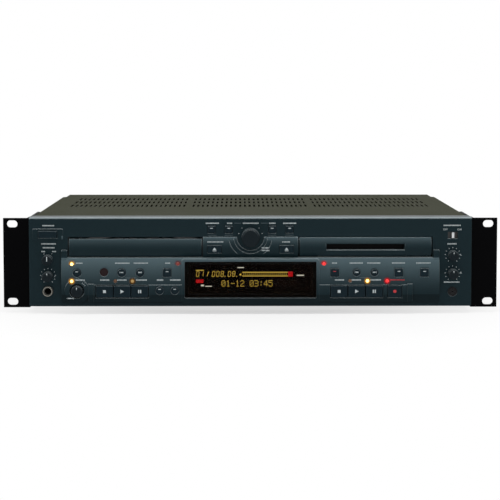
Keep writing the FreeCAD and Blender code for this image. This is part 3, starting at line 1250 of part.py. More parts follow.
def front_sockets():
    """Headphone jack, keyboard socket and remote control window."""
    x, z = -dim.column_x, up(dim.phones_up)
    front = back(-dim.phones_nut_proud)
    nut = rod("Y", x, front, z, dim.phones_nut_proud, dim.phones_nut_r)
    neck = rod("Y", x, back(0), z, dim.face_wall, dim.phones_nut_r - 0.9)
    case = block(x - 6.5, x + 6.5, back(dim.face_wall), back(dim.phones_long - 4), z - 5.8, z + 5.8)
    notch = block(x - 7, x + 7, back(dim.board_back - 0.3), back(dim.phones_long), z - 7, z + 7)
    tail = rod("Y", x, back(dim.board_back - 0.5), z, dim.phones_long - dim.board_back, 5.4)
    bore = rod("Y", x, front - 1, z, dim.phones_long, dim.phones_r + dim.phones_gap)
    jack = carve(join(nut, neck, carve(case, notch), tail), bore)
    x, z = dim.column_x, up(dim.keyboard_up)
    barrel = rod("Y", x, back(-0.8), z, dim.keyboard_long + 0.8, dim.keyboard_r)
    base = block(x - 6, x + 6, back(dim.keyboard_long), back(dim.board_back), z - 6, z + 6)
    ring = carve(rod("Y", x, back(-1.0), z, 6, dim.keyboard_r - 0.5),
                 rod("Y", x, back(-1.2), z, 7, dim.keyboard_r - 0.9))
    pins = []
    for turn_angle in (30, 90, 150, 210, 270, 330):
        u = dim.keyboard_pin_circle * math.cos(math.radians(turn_angle))
        v = dim.keyboard_pin_circle * math.sin(math.radians(turn_angle))
        pins.append(rod("Y", x + u, back(-1.0), z + v, 6, dim.keyboard_pin_r))
    key = block(x - 1.0, x + 1.0, back(-1.0), back(4), z - 0.6, z + 0.6)
    keyboard = carve(join(barrel, base), ring, key, *pins)
    remote = join(
        rod("Y", -dim.remote_x, back(-dim.remote_proud), up(dim.remote_up),
            dim.remote_proud + dim.face_wall, dim.remote_r),
        block(-dim.remote_x - 3, -dim.remote_x + 3, back(dim.face_wall), back(dim.board_back),
              up(dim.remote_up) - 3, up(dim.remote_up) + 3))
    return group("front_sockets", [jack, keyboard, remote])


def rear_sockets():
    """Mains inlet, control port, optical and phono sockets and two balanced sockets."""
    rear = back(dim.body_long)
    inside = rear - dim.socket_depth
    items = []
    z = up(dim.inlet_up)
    x = -dim.inlet_x
    reach_x, reach_z = dim.inlet_wide / 2 - 0.1, dim.inlet_tall / 2 - 0.1
    shell = join(
        block(x - reach_x, x + reach_x, inside - 8, rear + 1.5, z - reach_z, z + reach_z),
        block(x - reach_x - 3, x + reach_x + 3, rear, rear + 1.5, z - reach_z - 3, z + reach_z + 3))
    hollow = block(x - reach_x + 1.6, x + reach_x - 1.6, inside - 6, rear + 2,
                   z - reach_z + 1.6, z + reach_z - 1.6)
    blades = [block(x + shift - 1, x + shift + 1, inside - 8, rear - 2, z + lift - 2.5, z + lift + 2.5)
              for shift, lift in ((-7, -1), (0, 3), (7, -1))]
    items.append(join(carve(shell, hollow), *blades))
    x, z = -dim.port_x, up(dim.port_up)
    plate = block(x - dim.port_wide / 2, x + dim.port_wide / 2, rear, rear + 1.2,
                  z - dim.port_tall / 2, z + dim.port_tall / 2)
    shroud = block(x - 12, x + 12, inside, rear + 6, z - 4.6, z + 4.6)
    pins = [rod("Y", x - 7.5 + 2.2 * column + row, rear + 2, z - 1.5 + 3 * row, 6, 0.55)
            for row in range(2) for column in range(7)]
    holes = [rod("Y", x + side * (dim.port_wide / 2 - dim.port_screw_in), rear - 1, z, 3,
                 dim.shank_r + dim.screw_gap) for side in (-1, 1)]
    items.append(carve(join(plate, shroud), *pins, *holes))
    for step in range(2):
        x = -dim.optical_x + dim.optical_wide * 1.4 * step
        z = up(dim.phono_up)
        reach = dim.optical_wide / 2 - 0.1
        case = block(x - reach, x + reach, inside, rear + 1, z - reach, z + reach)
        port = block(x - 2.8, x + 2.8, rear, rear + 2, z - 2.8, z + 2.8)
        items.append(carve(case, port))
    for x, height in phonos():
        z = up(height)
        barrel = rod("Y", x, inside, z, dim.socket_depth + dim.rear_out, dim.phono_r)
        collar = rod("Y", x, rear, z, 1.5, dim.phono_nut_r)
        bore = rod("Y", x, rear - 2, z, dim.rear_out + 3, dim.phono_bore_r)
        items.append(carve(join(barrel, collar), bore))
    for x in xlrs():
        z = up(dim.xlr_up)
        reach = dim.xlr_flange / 2
        flange = block(x - reach, x + reach, rear, rear + 2, z - reach, z + reach)
        barrel = rod("Y", x, inside - 6, z, dim.socket_depth + 8, dim.xlr_r - 0.1)
        groove = carve(rod("Y", x, rear - 2, z, 5, dim.xlr_r - 1.2),
                       rod("Y", x, rear - 3, z, 7, dim.xlr_r - 2))
        contacts = [rod("Y", x + u, rear - 8, z + v, 12, 1.3) for u, v in ((-3.6, 1), (3.6, 1), (0, -3.6))]
        holes = [rod("Y", x + side * dim.xlr_screw, rear - 1, z + side * dim.xlr_screw, 4,
                     dim.shank_r + dim.screw_gap) for side in (-1, 1)]
        items.append(carve(join(flange, barrel), groove, *contacts, *holes))
    return group("rear_sockets", items)


def build():
    front_fascia()
    md_bezel()
    md_slot_flap()
    chassis_pan()
    top_cover()
    rear_panel()
    rack_ears()
    display_window()
    display_tube()
    feet()
    screws()
    circuit_boards()
    for row in BUTTONS:
        button(*row)
    for row in KNOBS:
        knob(*row)
    jog()
    timer_switch_slider()
    tray_front()
    cd_tray()
    tray_drive_gear()
    cd_drive_frame()
    cd_turntable()
    disc_clamp()
    cd_pickup_sled()
    md_drive_frame()
    md_holder()
    md_turntable()
    md_pickup_sled()
    drive_motors()
    indicator_leds()
    front_sockets()
    rear_sockets()


def write_pieces():
    """Check every object and sub-part, then write one file for each sub-part."""
    doc.recompute()
    for item in doc.Objects:
        if {"Invalid", "Error"} & set(item.State):
            raise ValueError(f"{item.Label} did not compute: {item.State}")
    for piece in pieces:
        if piece.Shape.isNull() or not piece.Shape.isValid() or not piece.Shape.Solids:
            raise ValueError(f"{piece.Label} has no valid solid")
    os.makedirs("parts", exist_ok=True)
    for piece in pieces:
        piece.Shape.exportStep(f"parts/{piece.Label}.step")
    print(len(pieces), "pieces")


build()
write_pieces()
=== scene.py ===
"""Looks of a rack-mount disc deck: its finishes, printed marks, lit display, lamps, socket fittings and studio."""

import math

import bmesh
import bpy
from bpy.props import FloatProperty, FloatVectorProperty, PointerProperty
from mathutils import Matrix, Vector
from mathutils.bvhtree import BVHTree


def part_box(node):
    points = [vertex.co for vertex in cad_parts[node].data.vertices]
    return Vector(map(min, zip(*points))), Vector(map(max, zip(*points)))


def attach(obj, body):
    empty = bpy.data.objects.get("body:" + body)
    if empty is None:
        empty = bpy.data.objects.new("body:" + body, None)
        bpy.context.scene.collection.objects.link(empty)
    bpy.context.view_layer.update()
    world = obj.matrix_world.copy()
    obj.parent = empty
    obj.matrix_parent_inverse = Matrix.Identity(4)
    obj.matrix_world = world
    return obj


bl_info = {
    "name": "Disc Deck Looks",
    "version": (1, 0, 0),
    "blender": (4, 5, 0),
    "location": "3D View > Sidebar > Disc Deck",
    "description": "Finishes, printed marks, display, lamps and studio for a rack-mount disc deck",
    "category": "Object",
}

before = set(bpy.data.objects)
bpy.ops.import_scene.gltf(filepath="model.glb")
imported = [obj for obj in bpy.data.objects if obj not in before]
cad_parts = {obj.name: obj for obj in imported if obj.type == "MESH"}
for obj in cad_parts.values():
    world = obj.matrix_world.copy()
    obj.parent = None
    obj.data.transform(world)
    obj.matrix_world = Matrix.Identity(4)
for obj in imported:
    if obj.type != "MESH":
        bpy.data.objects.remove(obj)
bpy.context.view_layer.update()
FLOOR_OF_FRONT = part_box("front_fascia")[0][2]
WINDOW_PROUD = 0.0048  # how far the display's window stands out of the face of the front
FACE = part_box("display_window")[0][1] + WINDOW_PROUD
TUBE_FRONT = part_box("display_tube")[0][1]
REAR_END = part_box("rear_sockets")[1][1]
MM = 0.001

WELL_IN_FRONT = -0.4  # where a ray sent at the front starts
HIGHLIGHT_REACH = 0.0008  # how far the painted edge highlight reaches from an edge
DUST = (0.42, 0.41, 0.38, 1.0)
UNLIT = (0.02, 0.015, 0.01, 1.0)  # lit pieces where no light comes through


def linear(red, green, blue):
    """A colour as a screen shows it, 0 to 255, as the light values that a shader takes."""
    return tuple(c / 3294.6 if c <= 10 else ((c / 255 + 0.055) / 1.055) ** 2.4 for c in (red, green, blue))


def length(name, description, default):
    return FloatProperty(name=name, description=description, default=default, unit="LENGTH", precision=5)


def colour(name, description, default):
    return FloatVectorProperty(name=name, description=description, default=linear(*default), subtype="COLOR", size=3,
                               min=0, max=1)


def amount(name, description, default):
    return FloatProperty(name=name, description=description, default=default, min=0)


class DeckSizes(bpy.types.PropertyGroup):
    ink_thick: length("Ink thickness", "Thickness of every printed mark", 0.00008)
    dash_wide: length("Dash width", "Width of one dash in a printed row", 0.0009)
    dash_gap: length("Dash gap", "Gap between two dashes of a row", 0.0004)
    dash_tall: length("Dash height", "Height of one dash in a printed row", 0.0012)
    line_tall: length("Line height", "Height of a thin printed line", 0.0003)
    letter: length("Figure size", "Size of printed figures and switch words", 0.0026)
    tick_long: length("Tick length", "Length of a tick round a knob", 0.0009)
    tick_wide: length("Tick width", "Width of a tick round a knob", 0.0005)
    tick_ring: length("Tick ring radius", "Radius of the ring of ticks round a level knob", 0.0072)
    pointer_wide: length("Pointer width", "Width of the pointer line of a knob", 0.0008)
    lens: length("Lamp lens radius", "Radius of a lamp's domed lens", 0.0015)
    halo: length("Lamp halo radius", "Radius of the light round a lit lamp", 0.0038)
    dot: length("Display dot", "Side of one dot of a display character", 0.00052)
    dot_pitch: length("Display dot pitch", "Distance from dot to dot in a display character", 0.00082)
    figure_tall: length("Display figure height", "Height of the time figures in the display", 0.0052)
    edge: length("Edge radius", "Radius that light shows on painted and moulded edges", 0.00035)


class DeckColours(bpy.types.PropertyGroup):
    face: colour("Front", "Satin blue-grey paint of the front", (26, 42, 47))
    # Painted sheen: a paler colour stands in for the light on the parts of the front that lean back toward it.
    painted_sheen: colour("Sheen", "Paler paint where the front leans back to the light", (84, 102, 108))
    # Painted highlight: this pale colour along the top edge of the front stands in for light caught by its chamfer.
    rim: colour("Rim", "Pale line along the top of the front", (160, 172, 176))
    # Painted shade: this darker colour low down on the front stands in for the shade that falls there.
    low: colour("Lower front", "Darker paint low down on the front", (18, 31, 35))
    block: colour("Key", "Moulded keys", (17, 33, 40))
    knob: colour("Knob", "Moulded knobs and dial", (16, 26, 31))
    cover: colour("Cover", "Olive-grey paint of the cover", (48, 50, 36))
    ear: colour("Bracket", "Black paint of the rack brackets", (2, 2, 3))
    ink: colour("Ink", "Printed marks", (196, 206, 208))
    faint: colour("Faint ink", "Fine printed lines", (92, 108, 114))
    red_ink: colour("Red ink", "Marks of the recording keys", (190, 40, 46))
    amber: colour("Amber light", "Lit lamps", (255, 206, 116))
    figures: colour("Lit figures", "Lit figures of the display", (255, 214, 92))
    red_light: colour("Red light", "Lit red figures and lamps", (232, 26, 34))
    ghost: colour("Unlit dots", "Unlit dots of the display", (40, 22, 12))
    metal: colour("Bright metal", "Plated and machined metal", (196, 194, 188))
    board: colour("Board", "Circuit boards", (22, 66, 38))


class DeckStudio(bpy.types.PropertyGroup):
    strip_power: amount("Strip light", "Power of the long light above the front, in watts", 12.0)
    fill_power: amount("Fill light", "Power of the wide light in front, in watts", 9.0)
    rear_power: amount("Rear light", "Power of the light behind and above, in watts", 3.0)
    world: amount("Surroundings", "Strength of the light from all round", 0.25)
    floor_half: length("Floor half width", "Half the width of the floor", 4.0)


def wire(tree, source, socket):
    """Feeds a socket from another socket or sets it to a plain value."""
    if isinstance(source, bpy.types.NodeSocket):
        tree.links.new(source, socket)
    else:
        socket.default_value = source


def add(tree, kind, inputs=(), **settings):
    """The outputs of a new node. Its inputs, by name or number, take plain values or other sockets."""
    made = tree.nodes.new(kind)
    for label, value in settings.items():
        setattr(made, label, value)
    for label, source in dict(inputs).items():
        wire(tree, source, made.inputs[label])
    return made.outputs


def calc(tree, operation, first, second=0.0, clamp=False):
    return add(tree, "ShaderNodeMath", {0: first, 1: second}, operation=operation, use_clamp=clamp)[0]


def blend_colour(tree, mask, under, over):
    return add(tree, "ShaderNodeMix", {0: mask, 6: under, 7: over}, data_type="RGBA")[2]


def object_place(tree):
    return add(tree, "ShaderNodeTexCoord")["Object"]


def object_noise(tree, scale):
    return add(tree, "ShaderNodeTexNoise", {"Vector": object_place(tree), "Scale": scale, "Detail": 3.0})["Fac"]


def split(tree, source):
    return add(tree, "ShaderNodeSeparateXYZ", {0: source})


def shader_group(name, inputs, outputs):
    """An empty shader node group with its named sockets, and its input and output nodes."""
    group = bpy.data.node_groups.new(name, "ShaderNodeTree")
    for side, sockets in (("INPUT", inputs), ("OUTPUT", outputs)):
        for label, kind in sockets.items():
            group.interface.new_socket(label, in_out=side, socket_type="NodeSocket" + kind)
    return group, group.nodes.new("NodeGroupInput").outputs, group.nodes.new("NodeGroupOutput").inputs


def grain_group():
    """Fine unevenness of paint or moulded plastic in colour, roughness and height."""
    tree, given, result = shader_group(
        "Grain", {"Colour": "Color", "Variation": "Float", "Scale": "Float", "Roughness": "Float",
                  "Roughness Variation": "Float"},
        {"Colour": "Color", "Roughness": "Float", "Height": "Float"})
    fine = object_noise(tree, given["Scale"])
    broad = object_noise(tree, 14.0)
    both = calc(tree, "ADD", calc(tree, "MULTIPLY", fine, 0.6), calc(tree, "MULTIPLY", broad, 0.4))
    swing = calc(tree, "SUBTRACT", both, 0.5)
    level = calc(tree, "ADD", calc(tree, "MULTIPLY", swing, given["Variation"]), 1.0)
    scaled = add(tree, "ShaderNodeVectorMath", {0: given["Colour"], "Scale": level}, operation="SCALE")
    wire(tree, scaled[0], result["Colour"])
    uneven = calc(tree, "MULTIPLY", swing, given["Roughness Variation"])
    wire(tree, calc(tree, "ADD", given["Roughness"], uneven, True), result["Roughness"])
    wire(tree, fine, result["Height"])
    return tree


def painted_edge_highlight_group():
    """Painted highlight: a lighter colour along edges, most on those that face up toward the light."""
    tree, given, result = shader_group(
        "Painted Edge Highlight", {"Colour": "Color", "Worn Colour": "Color", "Radius": "Float", "Amount": "Float"},
        {"Colour": "Color"})
    rounded = add(tree, "ShaderNodeBevel", {"Radius": given["Radius"]}, samples=4)[0]
    normal = add(tree, "ShaderNodeNewGeometry")["Normal"]
    level = add(tree, "ShaderNodeVectorMath", {0: rounded, 1: normal}, operation="DOT_PRODUCT")["Value"]
    edge = calc(tree, "MULTIPLY", calc(tree, "SUBTRACT", 1.0, level), 8.0, True)
    patchy = calc(tree, "ADD", object_noise(tree, 260.0), 0.45, True)
    upward = calc(tree, "ADD", calc(tree, "MULTIPLY", split(tree, rounded)["Z"], 2.2), 0.06, True)
    highlit = calc(tree, "MULTIPLY", edge, calc(tree, "MULTIPLY", patchy, upward))
    mask = calc(tree, "MULTIPLY", highlit, given["Amount"], True)
    wire(tree, blend_colour(tree, mask, given["Colour"], given["Worn Colour"]), result["Colour"])
    return tree


def dust_group():
    """A thin film of dust on what faces up."""
    tree, given, result = shader_group(
        "Dust", {"Colour": "Color", "Dust Colour": "Color", "Roughness": "Float", "Amount": "Float"},
        {"Colour": "Color", "Roughness": "Float"})
    upward = split(tree, add(tree, "ShaderNodeNewGeometry")["Normal"])["Z"]
    speckle = calc(tree, "MULTIPLY", object_noise(tree, 900.0), object_noise(tree, 18.0))
    mask = calc(tree, "MULTIPLY", calc(tree, "MULTIPLY", upward, speckle, True), given["Amount"], True)
    wire(tree, blend_colour(tree, mask, given["Colour"], given["Dust Colour"]), result["Colour"])
    wire(tree, calc(tree, "ADD", given["Roughness"], calc(tree, "MULTIPLY", mask, 0.4), True), result["Roughness"])
    return tree


def zone_group():
    """A mask that is 1 inside a box of the object's own space, or grows to 1 at its top where it fades."""
    tree, given, result = shader_group("Zone", {"Low": "Vector", "High": "Vector", "Fade": "Float"}, {"Mask": "Float"})
    place, low, high = (split(tree, source) for source in (object_place(tree), given["Low"], given["High"]))
    mask = 1.0
    for axis in range(3):
        for operation, limit in (("GREATER_THAN", low), ("LESS_THAN", high)):
            mask = calc(tree, "MULTIPLY", mask, calc(tree, operation, place[axis], limit[axis]))
    above, tall = (calc(tree, "SUBTRACT", corner["Z"], low["Z"]) for corner in (place, high))
    rise = calc(tree, "DIVIDE", above, tall, True)
    wire(tree, calc(tree, "MULTIPLY", mask, calc(tree, "POWER", rise, given["Fade"])), result["Mask"])
    return tree


EFFECTS = {"Grain": grain_group, "Painted Edge Highlight": painted_edge_highlight_group, "Dust": dust_group, "Zone": zone_group}


def effect(tree, name, **values):
    """One of the shared effects placed in a material, with its own values."""
    inputs = {label.replace("_", " "): value for label, value in values.items()}
    return add(tree, "ShaderNodeGroup", inputs, node_tree=bpy.data.node_groups.get(name) or EFFECTS[name]())


def solid(value):
    return (*value, 1.0)


def new_material(name):
    made = bpy.data.materials.new(name)
    made.use_nodes = True
    return made, made.node_tree, made.node_tree.nodes["Principled BSDF"]


def grained(tree, shader, socket, tint, variation, scale, roughness, uneven):
    """Feeds a shader's colour socket and roughness with one grained colour."""
    grain = effect(tree, "Grain", Colour=solid(tint), Variation=variation, Scale=scale, Roughness=roughness,
                   Roughness_Variation=uneven)
    wire(tree, grain["Colour"], shader.inputs[socket])
    wire(tree, grain["Roughness"], shader.inputs["Roughness"])


def finish(name, base, roughness, metallic=0.0, variation=0.25, scale=900.0, uneven=0.15, bump=0.00002, highlight_amount=0.0,
           highlight_tint=(0.5, 0.58, 0.6), dust=0.0, specular=0.5, edge=0.0, zones=()):
    """A paint, plastic or metal finish, which may carry a painted highlight along its edges.

    Each zone is a low corner, a high corner, a colour, a metallic value and how steeply it fades downwards.
    """
    name = "deck_" + name
    if name in bpy.data.materials:
        return bpy.data.materials[name]
    made, tree, shader = new_material(name)
    tint, shine = solid(base), metallic
    for low, high, zone_colour, zone_metal, fade in zones:
        mask = effect(tree, "Zone", Low=low, High=high, Fade=fade)["Mask"]
        tint = blend_colour(tree, mask, tint, solid(zone_colour))
        shine = calc(tree, "ADD", calc(tree, "MULTIPLY", mask, zone_metal - metallic), shine, True)
    grain = effect(tree, "Grain", Colour=tint, Variation=variation, Scale=scale, Roughness=roughness,
                   Roughness_Variation=uneven)
    tint, rough = grain["Colour"], grain["Roughness"]
    # Painted highlight along the edges, lighter where they face up.
    if highlight_amount:
        tint = effect(tree, "Painted Edge Highlight", Colour=tint, Worn_Colour=solid(highlight_tint), Radius=HIGHLIGHT_REACH, Amount=highlight_amount)["Colour"]
    if dust:
        film = effect(tree, "Dust", Colour=tint, Dust_Colour=DUST, Roughness=rough, Amount=dust)
        tint, rough = film["Colour"], film["Roughness"]
    relief = {"Distance": bump, "Strength": 1.0, "Height": grain["Height"]}
    if edge:
        relief["Normal"] = add(tree, "ShaderNodeBevel", {"Radius": edge}, samples=6)[0]
    for label, value in (("Base Color", tint), ("Roughness", rough), ("Metallic", shine),
                         ("Specular IOR Level", specular), ("Normal", add(tree, "ShaderNodeBump", relief)[0])):
        wire(tree, value, shader.inputs[label])
    return made


def glow(name, light, strength):
    """A lit piece: figures behind the window, or a lamp's lens."""
    made, tree, shader = new_material("deck_" + name)
    grained(tree, shader, "Emission Color", light, 0.12, 600.0, 0.4, 0.1)
    shader.inputs["Base Color"].default_value = UNLIT
    shader.inputs["Emission Strength"].default_value = strength
    return made


def smoked_acrylic():
    """Dark brown clear sheet in front of the display, with faint wiping marks."""
    made, tree, shader = new_material("smoked_window")
    grained(tree, shader, "Base Color", (0.004, 0.002, 0.001), 0.2, 60.0, 0.03, 0.03)
    shader.inputs["Specular IOR Level"].default_value = 0.03
    shader.inputs["Alpha"].default_value = 0.6
    return made


def apply_finish(material, *nodes):
    """Gives CAD nodes a finish through their material slots."""
    for name in nodes:
        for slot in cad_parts[name].material_slots:
            slot.material = material


_surfaces = {}


def surface(x, z, nodes=("front_fascia",)):
    """The y at which the given CAD nodes are first met from the front."""
    key = tuple(nodes)
    if key not in _surfaces:
        corners, faces = [], []
        for name in nodes:
            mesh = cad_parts[name].data
            faces += [[len(corners) + index for index in face.vertices] for face in mesh.polygons]
            corners += [vertex.co.copy() for vertex in mesh.vertices]
        _surfaces[key] = BVHTree.FromPolygons(corners, faces)
    hit = _surfaces[key].ray_cast(Vector((x, WELL_IN_FRONT, z)), Vector((0, 1, 0)))[0]
    if hit is None:
        raise RuntimeError(f"no surface of {', '.join(nodes)} at {x:.4f}, {z:.4f}")
    return hit.y


def keep(name, mesh, body, material=None):
    """A finished piece in the scene, riding on its body."""
    piece = bpy.data.objects.new(name, mesh)
    bpy.context.scene.collection.objects.link(piece)
    if material:
        mesh.materials.clear()
        mesh.materials.append(material)
    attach(piece, body)


def evaluated(mesh, tree, **values):
    """The plain mesh that a Geometry Nodes tree makes from the given mesh and input values."""
    source = bpy.data.objects.new("working", mesh)
    bpy.context.scene.collection.objects.link(source)
    modifier = source.modifiers.new(tree.name, "NODES")
    modifier.node_group = tree
    for item in tree.interface.items_tree:
        if item.in_out == "INPUT" and item.name in values:
            modifier[item.identifier] = values[item.name]
    bpy.context.view_layer.update()
    result = bpy.data.meshes.new_from_object(source.evaluated_get(bpy.context.evaluated_depsgraph_get()))
    source.modifiers.clear()
    bpy.data.objects.remove(source)
    return result


def shape_tree(name, inputs, make_shape):
    """A tree that puts a shape on every point of a mesh, turned and scaled by the point's own values."""
    found = bpy.data.node_groups.get(name)
    if found:
        return found
    tree = bpy.data.node_groups.new(name, "GeometryNodeTree")
    tree.interface.new_socket("Geometry", in_out="INPUT", socket_type="NodeSocketGeometry")
    for label in inputs:
        tree.interface.new_socket(label, in_out="INPUT", socket_type="NodeSocketFloat")
    tree.interface.new_socket("Material", in_out="INPUT", socket_type="NodeSocketMaterial")
    tree.interface.new_socket("Geometry", in_out="OUTPUT", socket_type="NodeSocketGeometry")
    given = tree.nodes.new("NodeGroupInput").outputs
    result = tree.nodes.new("NodeGroupOutput").inputs
    placed = add(tree, "GeometryNodeInstanceOnPoints", {"Points": given["Geometry"], **make_shape(tree, given)})
    real = add(tree, "GeometryNodeRealizeInstances", {0: placed[0]})
    dressed = add(tree, "GeometryNodeSetMaterial", {"Geometry": real[0], "Material": given["Material"]})
    wire(tree, dressed[0], result["Geometry"])
    return tree


def named(tree, label):
    return add(tree, "GeometryNodeInputNamedAttribute", {"Name": label}, data_type="FLOAT")["Attribute"]


def tile_shape(tree, given):
    """A thin tile whose width, height and turn come from its point."""
    cube = add(tree, "GeometryNodeMeshCube", {"Size": (1, 1, 1)})["Mesh"]
    size = add(tree, "ShaderNodeCombineXYZ", {0: named(tree, "wide"), 1: given["Thickness"], 2: named(tree, "tall")})
    angle = add(tree, "ShaderNodeCombineXYZ", {1: named(tree, "turn")})
    turned = add(tree, "FunctionNodeEulerToRotation", {0: angle[0]})
    return {"Instance": cube, "Rotation": turned[0], "Scale": size[0]}


def lens_shape(tree, given):
    """A shallow domed lens."""
    ball = add(tree, "GeometryNodeMeshUVSphere", {"Segments": 20, "Rings": 10, "Radius": given["Radius"]})
    flat = add(tree, "GeometryNodeTransform", {"Geometry": ball["Mesh"], "Scale": (1, 0.5, 1)})
    return {"Instance": add(tree, "GeometryNodeSetShadeSmooth", {"Geometry": flat[0]})[0]}


def ring_shape(tree, given):
    """A ring of round section lying against the front or rear."""
    path, section = (add(tree, "GeometryNodeCurvePrimitiveCircle", {"Resolution": steps, "Radius": given[label]})
                     for steps, label in ((40, "Radius"), (8, "Wire")))
    tube = add(tree, "GeometryNodeCurveToMesh", {"Curve": path["Curve"], "Profile Curve": section["Curve"]})
    smooth = add(tree, "GeometryNodeSetShadeSmooth", {"Geometry": tube[0]})
    upright = add(tree, "GeometryNodeTransform", {"Geometry": smooth[0], "Rotation": (math.pi / 2, 0, 0)})
    return {"Instance": upright[0]}


def points_mesh(points, **values):
    """Loose points, with one value each for the named attributes."""
    mesh = bpy.data.meshes.new("points")
    mesh.from_pydata(points, [], [])
    for label, numbers in values.items():
        mesh.attributes.new(label, "FLOAT", "POINT").data.foreach_set("value", numbers)
    return mesh


def tiles(name, rows, material, thick):
    """Thin tiles in one mesh. Each row is x, y, z, width, height and turn, in metres and radians."""
    columns = list(zip(*rows))
    points = points_mesh(list(zip(*columns[:3])), wide=columns[3], tall=columns[4], turn=columns[5])
    tree = shape_tree("Tiles On Points", ["Thickness"], tile_shape)
    keep(name, evaluated(points, tree, Thickness=thick, Material=material), "deck")


def lenses(name, points, radius, material):
    tree = shape_tree("Lenses On Points", ["Radius"], lens_shape)
    keep(name, evaluated(points_mesh(points), tree, Radius=radius, Material=material), "deck")


def rings(name, points, radius, wire_radius, material):
    tree = shape_tree("Rings On Points", ["Radius", "Wire"], ring_shape)
    mesh = evaluated(points_mesh(points), tree, Radius=radius, Wire=wire_radius, Material=material)
    keep(name, mesh, "deck")


def plates(outlines, thick, nodes):
    """Thin plates pressed onto a surface, in one mesh.

    Each outline runs anticlockwise seen from the front, in metres.
    """
    made = bmesh.new()
    for outline in outlines:
        depth = min(surface(x, z, nodes) for x, z in outline)
        front = [made.verts.new((x, depth - thick, z)) for x, z in outline]
        rear = [made.verts.new((x, depth + thick, z)) for x, z in outline]
        made.faces.new(front)
        made.faces.new(rear[::-1])
        for index in range(len(outline)):
            after = (index + 1) % len(outline)
            made.faces.new((front[after], front[index], rear[index], rear[after]))
    mesh = bpy.data.meshes.new("plates")
    made.to_mesh(mesh)
    made.free()
    return mesh


def box_outline(x, z, wide, tall):
    left, right, low, high = x - wide / 2, x + wide / 2, z - tall / 2, z + tall / 2
    return [(left, low), (right, low), (right, high), (left, high)]


def dot_outline(x, z, radius, sides=20):
    angles = [math.tau * step / sides for step in range(sides)]
    return [(x + radius * math.cos(angle), z + radius * math.sin(angle)) for angle in angles]


def right_arrow(x, z, reach):
    return [(x - reach * 0.8, z - reach), (x + reach, z), (x - reach * 0.8, z + reach)]


def left_arrow(x, z, reach):
    return [(x + reach * 0.8, z + reach), (x - reach, z), (x + reach * 0.8, z - reach)]


def up_arrow(x, z, reach):
    return [(x - reach, z - reach * 0.55), (x + reach, z - reach * 0.55), (x, z + reach * 0.75)]


def symbol(kind, x, z, reach):
    """The outlines of a key's symbol."""
    if kind == "stop":
        return [box_outline(x, z, reach * 1.8, reach * 1.8)]
    if kind == "play":
        return [right_arrow(x, z, reach)]
    if kind == "pause":
        return [box_outline(x + side * reach * 0.55, z, reach * 0.65, reach * 1.9) for side in (-1, 1)]
    if kind == "record":
        return [dot_outline(x, z, reach)]
    if kind == "eject":
        return [up_arrow(x, z + reach * 0.3, reach), box_outline(x, z - reach * 0.75, reach * 2, reach * 0.35)]
    if kind in ("back", "forward"):
        side, arrow = (-1, left_arrow) if kind == "back" else (1, right_arrow)
        return [arrow(x - side * reach * 0.7, z, reach * 0.6), arrow(x + side * reach * 0.3, z, reach * 0.6),
                box_outline(x + side * reach * 1.15, z, reach * 0.3, reach * 1.2)]
    return [box_outline(x, z, reach * 2, reach * 0.55)]


def lettering(text, x, z, size, thick, depth):
    """Figures or a switch word as a thin closed mesh on the front."""
    font = bpy.data.curves.new("figures", "FONT")
    font.body, font.size, font.extrude = text, size, thick
    font.align_x, font.align_y = "CENTER", "CENTER"
    font.resolution_u = 3
    source = bpy.data.objects.new("figures", font)
    bpy.context.scene.collection.objects.link(source)
    bpy.context.view_layer.update()
    mesh = bpy.data.meshes.new_from_object(source.evaluated_get(bpy.context.evaluated_depsgraph_get()))
    bpy.data.objects.remove(source)
    for vertex in mesh.vertices:
        across, upward, out = vertex.co
        vertex.co = (x + across, depth - out, z + upward)
    return mesh


def joined(meshes):
    """Several meshes as one, without their materials."""
    whole = bmesh.new()
    for mesh in meshes:
        whole.from_mesh(mesh)
    for face in whole.faces:
        face.material_index = 0
    result = bpy.data.meshes.new("joined")
    whole.to_mesh(result)
    whole.free()
    result.materials.clear()
    return result


def dash_row(x, up, wide, sizes):
    """A printed row of short dashes, with its middle at a place on the front."""
    z = FLOOR_OF_FRONT + up * MM
    pitch = sizes.dash_wide + sizes.dash_gap
    count = max(1, round((wide * MM + sizes.dash_gap) / pitch))
    rows = []
    for step in range(count):
        place = x * MM + (step - (count - 1) / 2) * pitch
        rows.append((place, surface(place, z), z, sizes.dash_wide, sizes.dash_tall, 0.0))
    return rows


def line(x, up, wide, sizes):
    """One thin printed line, as a row of one tile."""
    z = FLOOR_OF_FRONT + up * MM
    return [(x * MM, surface(x * MM, z), z, wide * MM, sizes.line_tall, 0.0)]


def tick_ring(x, up, radius, count, start, sweep, sizes):
    """Ticks round a knob; angles run clockwise from straight down, in degrees."""
    rows = []
    for step in range(count):
        angle = math.radians(start + sweep * step / (count - 1))
        place_x = x * MM - radius * MM * math.sin(angle)
        z = FLOOR_OF_FRONT + up * MM - radius * MM * math.cos(angle)
        rows.append((place_x, surface(place_x, z), z, sizes.tick_wide, sizes.tick_long, angle))
    return rows


FRONT_HALF, BLOCK_HALF = 0.2155, 0.1838  # half widths of the front and of its lower block


def painted_light_band(half, low, high, proud, tint, fade):
    """A band of painted highlight or painted shade, as its colour sets, on what stands proud of the front, between two
    heights in millimetres above its lower edge.
    """
    return ((-half, FACE - 0.007, FLOOR_OF_FRONT + low * MM), (half, FACE - proud, FLOOR_OF_FRONT + high * MM),
            tuple(tint), 0.0, fade)


